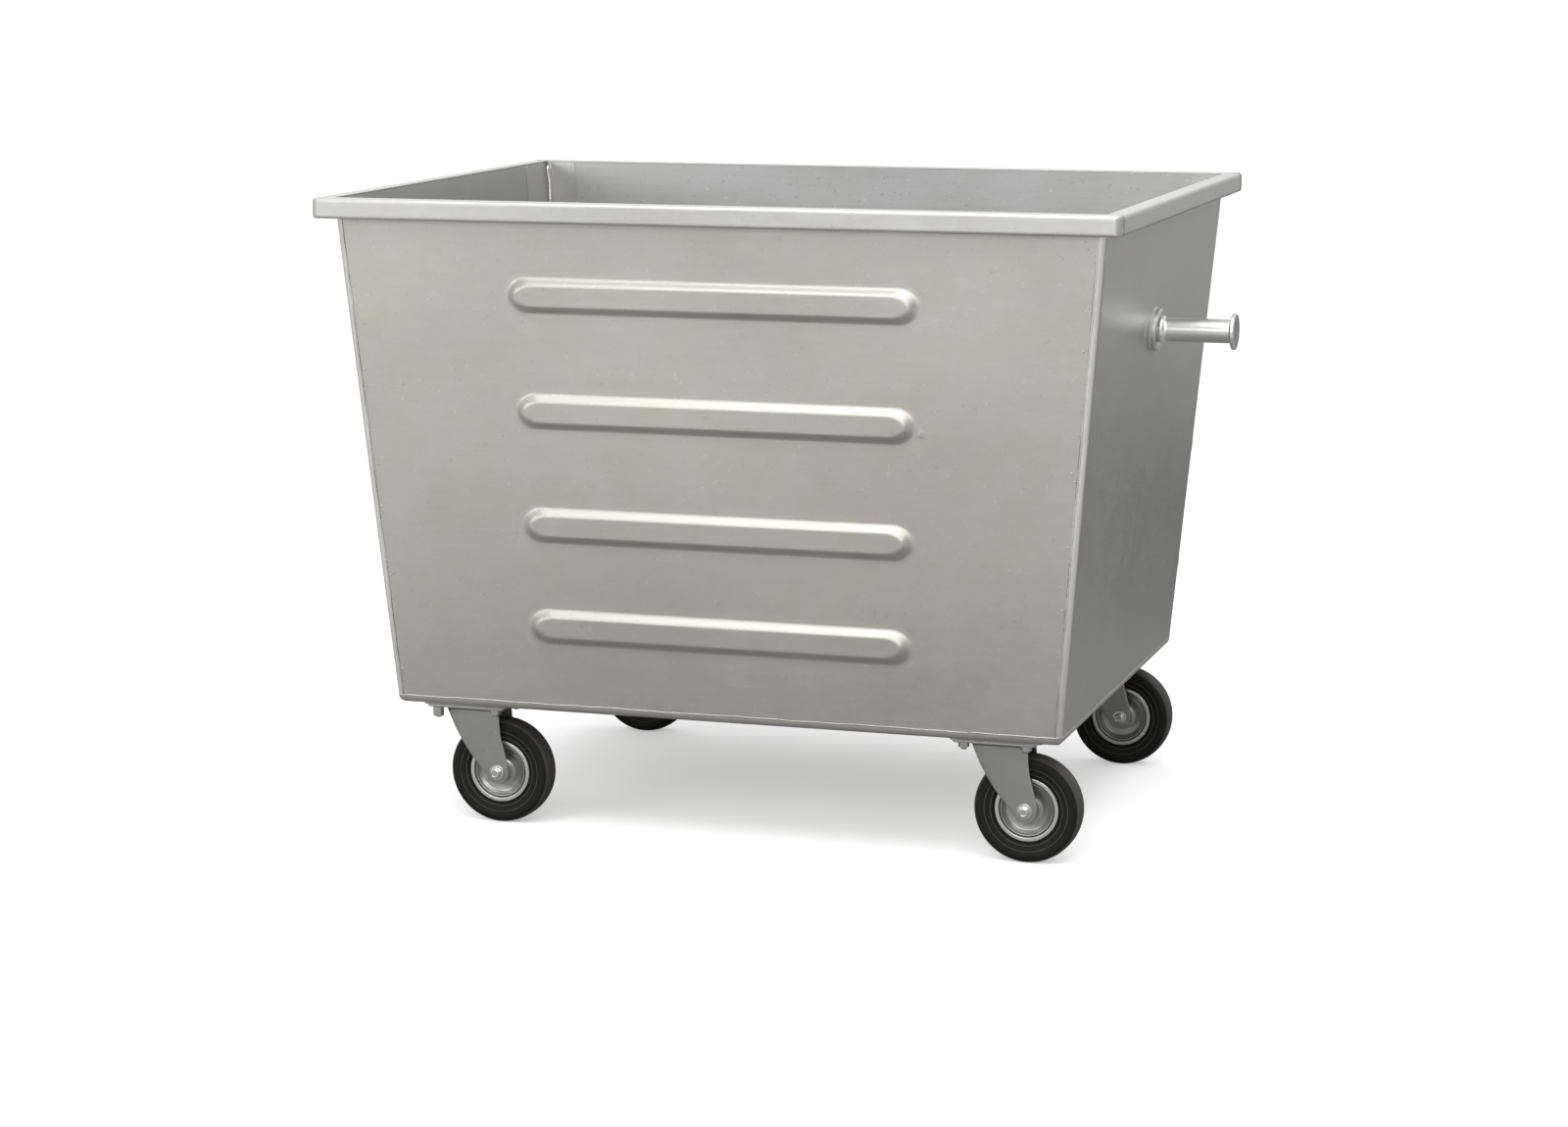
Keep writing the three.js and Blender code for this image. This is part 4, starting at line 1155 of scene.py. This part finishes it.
def tyre_mesh():
    half = [(54.4, 0), (54.4, 14.6), (55.2, 15.7, 0.5), (57.0, 16.1, 0.6), (57.6, 19.0, 0.6), (59.4, 19.7, 0.4), (60.0, 20.9, 0.4), (61.4, 21.0, 0.4), (62.0, 20.3, 0.4),
            (66.5, 21.6, 3), (69.3, 22.3, 0.4), (69.8, 23.1, 0.3), (71.0, 23.2, 0.3), (71.6, 22.7, 0.4), (76.5, 23.9, 4), (81.5, 23.6, 4), (86.0, 21.0, 4), (88.9, 16.8, 4),
            (89.95, 9.5, 8), (90.0, 1.1, 0.3), (90.2, 0.5, 0.2)]
    neg = [(p[0], -p[1]) + tuple(p[2:]) for p in half if p[1] != 0][::-1]
    return lathe(fillet(half + neg, True, 14), 128, True, "y")


def axle_bolt_mesh():
    prof = fillet([(0, -42.5), (4.6, -42.5, 0.4), (5.2, -43.0, 0.4), (6.6, -43.0, 0.8), (8.2, -41.4, 1.0), (8.2, -37.2, 0.5), (9.4, -36.6, 0.3), (9.4, -34.6, 0.2),
                   (12.4, -34.5, 0.4), (13, -33.9, 0.5), (13, -32.2, 0.4), (12.6, -31.8, 0.2), (6, -31.8), (6, 38.0), (5.4, 38.0), (5.1, 38.8), (6, 39.4), (6, 40.9, 0.5), (4.8, 42.0, 0.5), (0, 42.0)],
                  False, 18)
    return lathe(prof, 56, False, "y")


def axle_nut_build(to):
    b = Build()
    prof = fillet([(6.4, 31.8), (12.6, 31.8, 0.3), (13, 32.2, 0.3), (13, 33.9, 0.4), (12.5, 34.4, 0.4), (6.4, 34.4)], True, 20)
    b.add(*lathe(prof, 56, True, "y"), matrix=to)
    v, f = hexnut(17.0, 34.5, 40.5, 0.3)
    b.add(v, f, matrix=to @ Matrix.Rotation(-math.pi / 2, 4, "X"))
    return b


def ring_lathe(prof, segs, axis, step=18):
    return lathe(fillet(prof, True, step), segs, True, axis)


def stud(x, y, drop, to):
    b = Build()
    bottom = 204.4 - drop
    prof = [(0, 211.0), (5, 211.0)]
    z = 204.0
    prof.append((5, z))
    while z > bottom + 1.6:
        prof += [(4.95, z), (4.35, z - 0.75)]
        z -= 1.5
    prof += [(4.9, bottom + 1.0), (4.1, bottom), (0, bottom)]
    v, f = lathe(prof, 28, False, "z")
    b.add(v, f, matrix=to @ Matrix.Translation((x, y, 0)))
    low = bottom + 2 if drop > 15 else 204.1 - 8
    v, f = hexnut(17.0, low, 204.1 - 0.0, 0.4 + 0.7 * math.sin(x + 2 * y))
    b.add(v, f, matrix=to @ Matrix.Translation((x, y, 0)))
    v, f = ring_lathe([(5.4, 204.4), (9.6, 204.4, 0.2), (9.6, 203.2, 0.3), (5.4, 203.2)], 32, "z")
    b.add(v, f, matrix=to @ Matrix.Translation((x, y, 0)))
    return b


def castor(nm, sx, sy, drops, seed):
    at = Matrix.Translation((sx * CX, sy * CY, 0))
    hub = at @ Matrix.Translation((TRAIL, 0, AXLE_Z))
    swivel, wheel = "swivel_" + nm, "wheel_" + nm
    rr = random.Random(seed)
    # welded pad with studs and nuts
    b = Build().add(*plate(75, 60, 8, 209.0, 212.6, 0.7), matrix=at)
    i = 0
    for y in (-47, 47):
        for x in (-52.5, 52.5):
            s = stud(x, y, drops[i], at)
            b.add(s.v, s.f)
            i += 1
    piece("mounting_pad_" + nm, b.v, b.f, mat_plate, "container", ["castor_pad_" + nm], "plated_steel", sharp=32)
    # weld of the pad to the floor: two runs along the long edges
    b = Build()
    for y in (-60.4, 60.4):
        pts = [tuple(at @ Vector((x, y, 212.3))) for x in np.arange(-66, 66.1, 2.4)]
        b.add(*bead(pts, [(0, math.copysign(1, y), -0.9)] * len(pts), 1.9, 1.3, seed + int(y), 3.3))
    for x in (-75.4, 75.4):
        pts = [tuple(at @ Vector((x, y, 212.3))) for y in np.arange(-40, 40.1, 2.4)]
        b.add(*bead(pts, [(math.copysign(1, x), 0, -0.9)] * len(pts), 1.9, 1.3, seed + int(x), 3.3))
    piece("pad_weld_" + nm, b.v, b.f, mat_weld, "container", slot="plated_steel", sharp=60)
    b = Build().add(*plate(70, 57, 8, 204.4, 208.7, 0.9), matrix=at)
    piece("top_plate_" + nm, b.v, b.f, mat_plate, "container", ["castor_plate_" + nm], "plated_steel", sharp=32)
    b = Build().add(*ring_lathe([(14, 200.8), (36.4, 200.8, 0.6), (38, 201.7, 0.5), (38, 203.2, 0.5), (36.4, 204.1, 0.6), (14, 204.1)], 72, "z"), matrix=at)
    piece("swivel_race_" + nm, b.v, b.f, mat_race, "container", ["ball_race_" + nm], "turned_steel", sharp=38)
    prof = fillet([(0, 190.2), (9.0, 190.2, 1.0), (11.6, 191.1, 1.5), (12.5, 193.2, 1.0), (12.5, 196.2), (8, 196.2), (8, 204.9), (12, 204.9), (12, 208.7), (0, 208.7)], False, 18)
    b = Build().add(*lathe(prof, 48, False, "z"), matrix=at)
    piece("king_rivet_" + nm, b.v, b.f, mat_bolt, "container", ["kingpin_" + nm], "turned_steel", sharp=38)
    # swivelling part
    b = Build().add(*fork_mesh(), matrix=at)
    piece("fork_body_" + nm, b.v, b.f, mat_fork, swivel, ["fork_" + nm], "plated_steel", sharp=30)
    b = Build().add(*axle_bolt_mesh(), matrix=hub)
    piece("axle_screw_" + nm, b.v, b.f, mat_bolt, swivel, ["axle_bolt_" + nm], "turned_steel", sharp=32)
    b = axle_nut_build(hub)
    piece("axle_locknut_" + nm, b.v, b.f, mat_bolt, swivel, ["axle_nut_" + nm], "turned_steel", sharp=32)
    # wheel
    b = Build().add(*ring_lathe([(6.5, -27.7), (9.2, -27.7, 0.5), (10, -27.0, 0.5), (10, 27.0, 0.5), (9.2, 27.7, 0.5), (6.5, 27.7)], 40, "y"), matrix=hub)
    piece("axle_tube_" + nm, b.v, b.f, mat_bolt, wheel, ["axle_sleeve_" + nm], "turned_steel", sharp=32)
    b = Build().add(*wheel_rim_mesh(), matrix=hub)
    ob = piece("wheel_disc_" + nm, b.v, b.f, mat_wheel, wheel, ["wheel_rim_" + nm], "plated_steel", sharp=34)
    ob.data.materials.append(mat_wheel_lip_highlight)
    ob.data.materials.append(mat_dark_weld_and_painted_shade)
    cx, cz = (sx * CX + TRAIL) * MM, AXLE_Z * MM
    # painted highlight: the outer lip ring and the hub round the bore get the brighter lip copy of the plated steel;
    # painted shade: the faces of the groove inside the lip get near-black
    for poly in ob.data.polygons:
        r = math.hypot(poly.center.x - cx, poly.center.z - cz) / MM
        if r > 46.6 or r < 17.3:
            poly.material_index = 1
        elif 44.9 < r < 46.6 and abs(poly.center.y - sy * CY * MM) > 0.0150:
            poly.material_index = 2
    b = Build().add(*tyre_mesh(), matrix=hub)
    ob = piece("solid_tyre_" + nm, b.v, b.f, mat_tyre, wheel, ["tyre_" + nm], "tyre_rubber", sharp=40)
    ob.data.materials.append(mat_tread)
    ob.data.materials.append(mat_ring_highlight)
    cx, cz = (sx * CX + TRAIL) * MM, AXLE_Z * MM
    # painted highlight: the faces of the two moulded rings on the sidewall get the lighter ring rubber
    for poly in ob.data.polygons:
        r = math.hypot(poly.center.x - cx, poly.center.z - cz) / MM
        if r > 85.8:
            poly.material_index = 1
        elif 59.7 < r < 61.6 or 69.6 < r < 71.2:
            poly.material_index = 2


castor("front_left", -1, -1, (19, 12, 12, 19), 201)
castor("front_right", 1, -1, (12, 12, 12, 19), 202)
castor("rear_left", -1, 1, (12, 12, 12, 12), 203)
castor("rear_right", 1, 1, (12, 12, 12, 12), 204)

# ---------------------------------------------------------------- studio
FLOOR_GREY, FLOOR_FAR, FLOOR_GLOW = 0.195, 0.70, 0.40
floor_me = bpy.data.meshes.new("studio_floor")
n, size = 24, 30.0
fv = [(-size + 2 * size * i / n, -size + 2 * size * j / n, 0.0) for j in range(n + 1) for i in range(n + 1)]
ff = [(j * (n + 1) + i, j * (n + 1) + i + 1, (j + 1) * (n + 1) + i + 1, (j + 1) * (n + 1) + i) for j in range(n) for i in range(n)]
floor_me.from_pydata(fv, [], ff)
floor_ob = bpy.data.objects.new("studio_floor", floor_me)
scene.collection.objects.link(floor_ob)
m, nt = new_mat("studio_floor_paint")
g = Nodes(nt)
# pale where it is looked at, a grey studio sweep for the light that it sends back; the sweep's grey is painted shade
# and light: darker close to the bin in front of it, lighter further off and towards the left
pale = g.mix(g.noise(g.mapped((1, 1, 1)), 3.0, 2.0), (0.90, 0.90, 0.90), (0.92, 0.92, 0.92))
spot = nt.nodes.new("ShaderNodeTexCoord")
flat = nt.nodes.new("ShaderNodeVectorMath")
flat.operation = "LENGTH"
nt.links.new(spot.outputs["Object"], flat.inputs[0])
parts = nt.nodes.new("ShaderNodeSeparateXYZ")
nt.links.new(spot.outputs["Object"], parts.inputs[0])


def framp(x, lo, hi, a, b):
    n = nt.nodes.new("ShaderNodeMapRange")
    n.clamp = True
    n.interpolation_type = "SMOOTHSTEP"
    for i, v in zip((1, 2, 3, 4), (lo, hi, a, b)):
        n.inputs[i].default_value = v
    nt.links.new(x, n.inputs[0])
    return n.outputs[0]


# painted shade and light on the sweep: grey near the bin, lighter far off and to the left
ahead = framp(parts.outputs["Y"], -1.2, 0.1, 1.0, 0.0)
aside = framp(parts.outputs["X"], -2.2, -0.3, 2.3, 1.0)
near = framp(flat.outputs["Value"], 1.0, 3.0, 0.0, 1.0)
close = framp(flat.outputs["Value"], 1.1, 2.3, 0.30, 0.0)
far = g.math("ADD", close, framp(flat.outputs["Value"], 2.9, 6.5, 0.0, 0.85))
away = g.math("ADD", g.math("MULTIPLY", near, ahead), g.math("MULTIPLY", far, g.math("SUBTRACT", 1.0, ahead)))
away = g.math("MULTIPLY", away, aside)
grey = g.mix(away, (FLOOR_GREY,) * 3, (FLOOR_FAR,) * 3)
top = nt.nodes.new("ShaderNodeBsdfDiffuse")
nt.links.new(pale, top.inputs["Color"])
glow = nt.nodes.new("ShaderNodeEmission")
glow.inputs["Strength"].default_value = FLOOR_GLOW
both = nt.nodes.new("ShaderNodeAddShader")
nt.links.new(top.outputs[0], both.inputs[0])
nt.links.new(glow.outputs[0], both.inputs[1])
sweep = nt.nodes.new("ShaderNodeBsdfDiffuse")
nt.links.new(grey, sweep.inputs["Color"])
path = nt.nodes.new("ShaderNodeLightPath")
pick = nt.nodes.new("ShaderNodeMixShader")
nt.links.new(path.outputs["Is Camera Ray"], pick.inputs[0])
nt.links.new(sweep.outputs[0], pick.inputs[1])
nt.links.new(both.outputs[0], pick.inputs[2])
fo = nt.nodes.new("ShaderNodeOutputMaterial")
nt.links.new(pick.outputs[0], fo.inputs["Surface"])
floor_me.materials.append(m)

world = bpy.data.worlds.new("studio_world")
scene.world = world
world.use_nodes = True
wn = world.node_tree
wn.nodes.clear()
out = wn.nodes.new("ShaderNodeOutputWorld")
tc = wn.nodes.new("ShaderNodeTexCoord")
sep = wn.nodes.new("ShaderNodeSeparateXYZ")
wn.links.new(tc.outputs["Generated"], sep.inputs[0])


def wmath(op, a, b=None, clamp=False):
    n = wn.nodes.new("ShaderNodeMath")
    n.operation = op
    n.use_clamp = clamp
    for i, x in enumerate((a, b)):
        if x is None:
            continue
        if isinstance(x, (int, float)):
            n.inputs[i].default_value = x
        else:
            wn.links.new(x, n.inputs[i])
    return n.outputs[0]


def wramp(x, lo, hi, a, b):
    n = wn.nodes.new("ShaderNodeMapRange")
    n.clamp = True
    n.interpolation_type = "SMOOTHSTEP"
    for i, v in zip((1, 2, 3, 4), (lo, hi, a, b)):
        n.inputs[i].default_value = v
    wn.links.new(x, n.inputs[0])
    return n.outputs[0]


# a bright ceiling, a dimmer front and right-hand side low down
SKY_TOP, SKY_FRONT, SKY_RIGHT, SKY_BACK = 0.80, 0.38, 0.78, 0.95
front = wramp(sep.outputs["Y"], -0.75, 0.35, SKY_FRONT, SKY_BACK)
side = wramp(sep.outputs["X"], 0.1, 0.8, 1.0, SKY_RIGHT)
low = wmath("MULTIPLY", front, side)
up = wramp(sep.outputs["Z"], 0.12, 0.7, 0.0, 1.0)
level = wmath("ADD", wmath("MULTIPLY", low, wmath("SUBTRACT", 1.0, up)), wmath("MULTIPLY", up, SKY_TOP))
lit = wn.nodes.new("ShaderNodeBackground")
lit.inputs["Color"].default_value = (1.0, 1.0, 1.0, 1)
wn.links.new(level, lit.inputs["Strength"])
seen = wn.nodes.new("ShaderNodeBackground")
seen.inputs["Color"].default_value = (1, 1, 1, 1)
seen.inputs["Strength"].default_value = 1.05
lp = wn.nodes.new("ShaderNodeLightPath")
mixw = wn.nodes.new("ShaderNodeMixShader")
wn.links.new(lp.outputs["Is Camera Ray"], mixw.inputs[0])
wn.links.new(lit.outputs[0], mixw.inputs[1])
wn.links.new(seen.outputs[0], mixw.inputs[2])
wn.links.new(mixw.outputs[0], out.inputs["Surface"])


def area(name, loc, target, sx, sy, power, colour=(1, 1, 1)):
    l = bpy.data.lights.new(name, "AREA")
    l.shape = "RECTANGLE"
    l.size, l.size_y = sx, sy
    l.energy = power
    l.color = colour
    o = bpy.data.objects.new(name, l)
    o.location = loc
    o.rotation_euler = (Vector(target) - Vector(loc)).to_track_quat("-Z", "Y").to_euler()
    o.visible_camera = False
    scene.collection.objects.link(o)
    return o


area("front_softbox_left", (-2.6, -3.3, 1.75), (-0.4, -0.5, 1.10), 2.2, 1.0, 30)
area("front_softbox_right", (0.8, -3.4, 1.75), (0.3, -0.5, 1.10), 2.0, 1.0, 25)
area("top_softbox", (0.3, -1.5, 3.3), (0.1, -0.3, 0.3), 3.6, 2.6, 82)

scene.view_settings.view_transform = "Standard"
scene.view_settings.look = "None"
scene.view_settings.exposure = 0.0
scene.view_settings.gamma = 1.0

# ---------------------------------------------------------------- camera
yaw, pitch, roll = D(17.594), D(10.200), D(-0.134)
fwd = Vector((-math.sin(yaw) * math.cos(pitch), math.cos(yaw) * math.cos(pitch), -math.sin(pitch)))
right = Vector((math.cos(yaw), math.sin(yaw), 0))
upv = right.cross(fwd)
r2 = right * math.cos(roll) + upv * math.sin(roll)
u2 = upv * math.cos(roll) - right * math.sin(roll)
cam_data = bpy.data.cameras.new("camera")
cam_data.sensor_width = 36
cam_data.lens = 81.106
cam_data.clip_end = 200
cam = bpy.data.objects.new("camera", cam_data)
scene.collection.objects.link(cam)
mw = Matrix.Identity(4)
for i, col in enumerate((r2, u2, -fwd)):
    for j in range(3):
        mw[j][i] = col[j]
mw.translation = Vector((1.83514, -5.86985, 1.51443))
cam.matrix_world = mw
scene.camera = cam
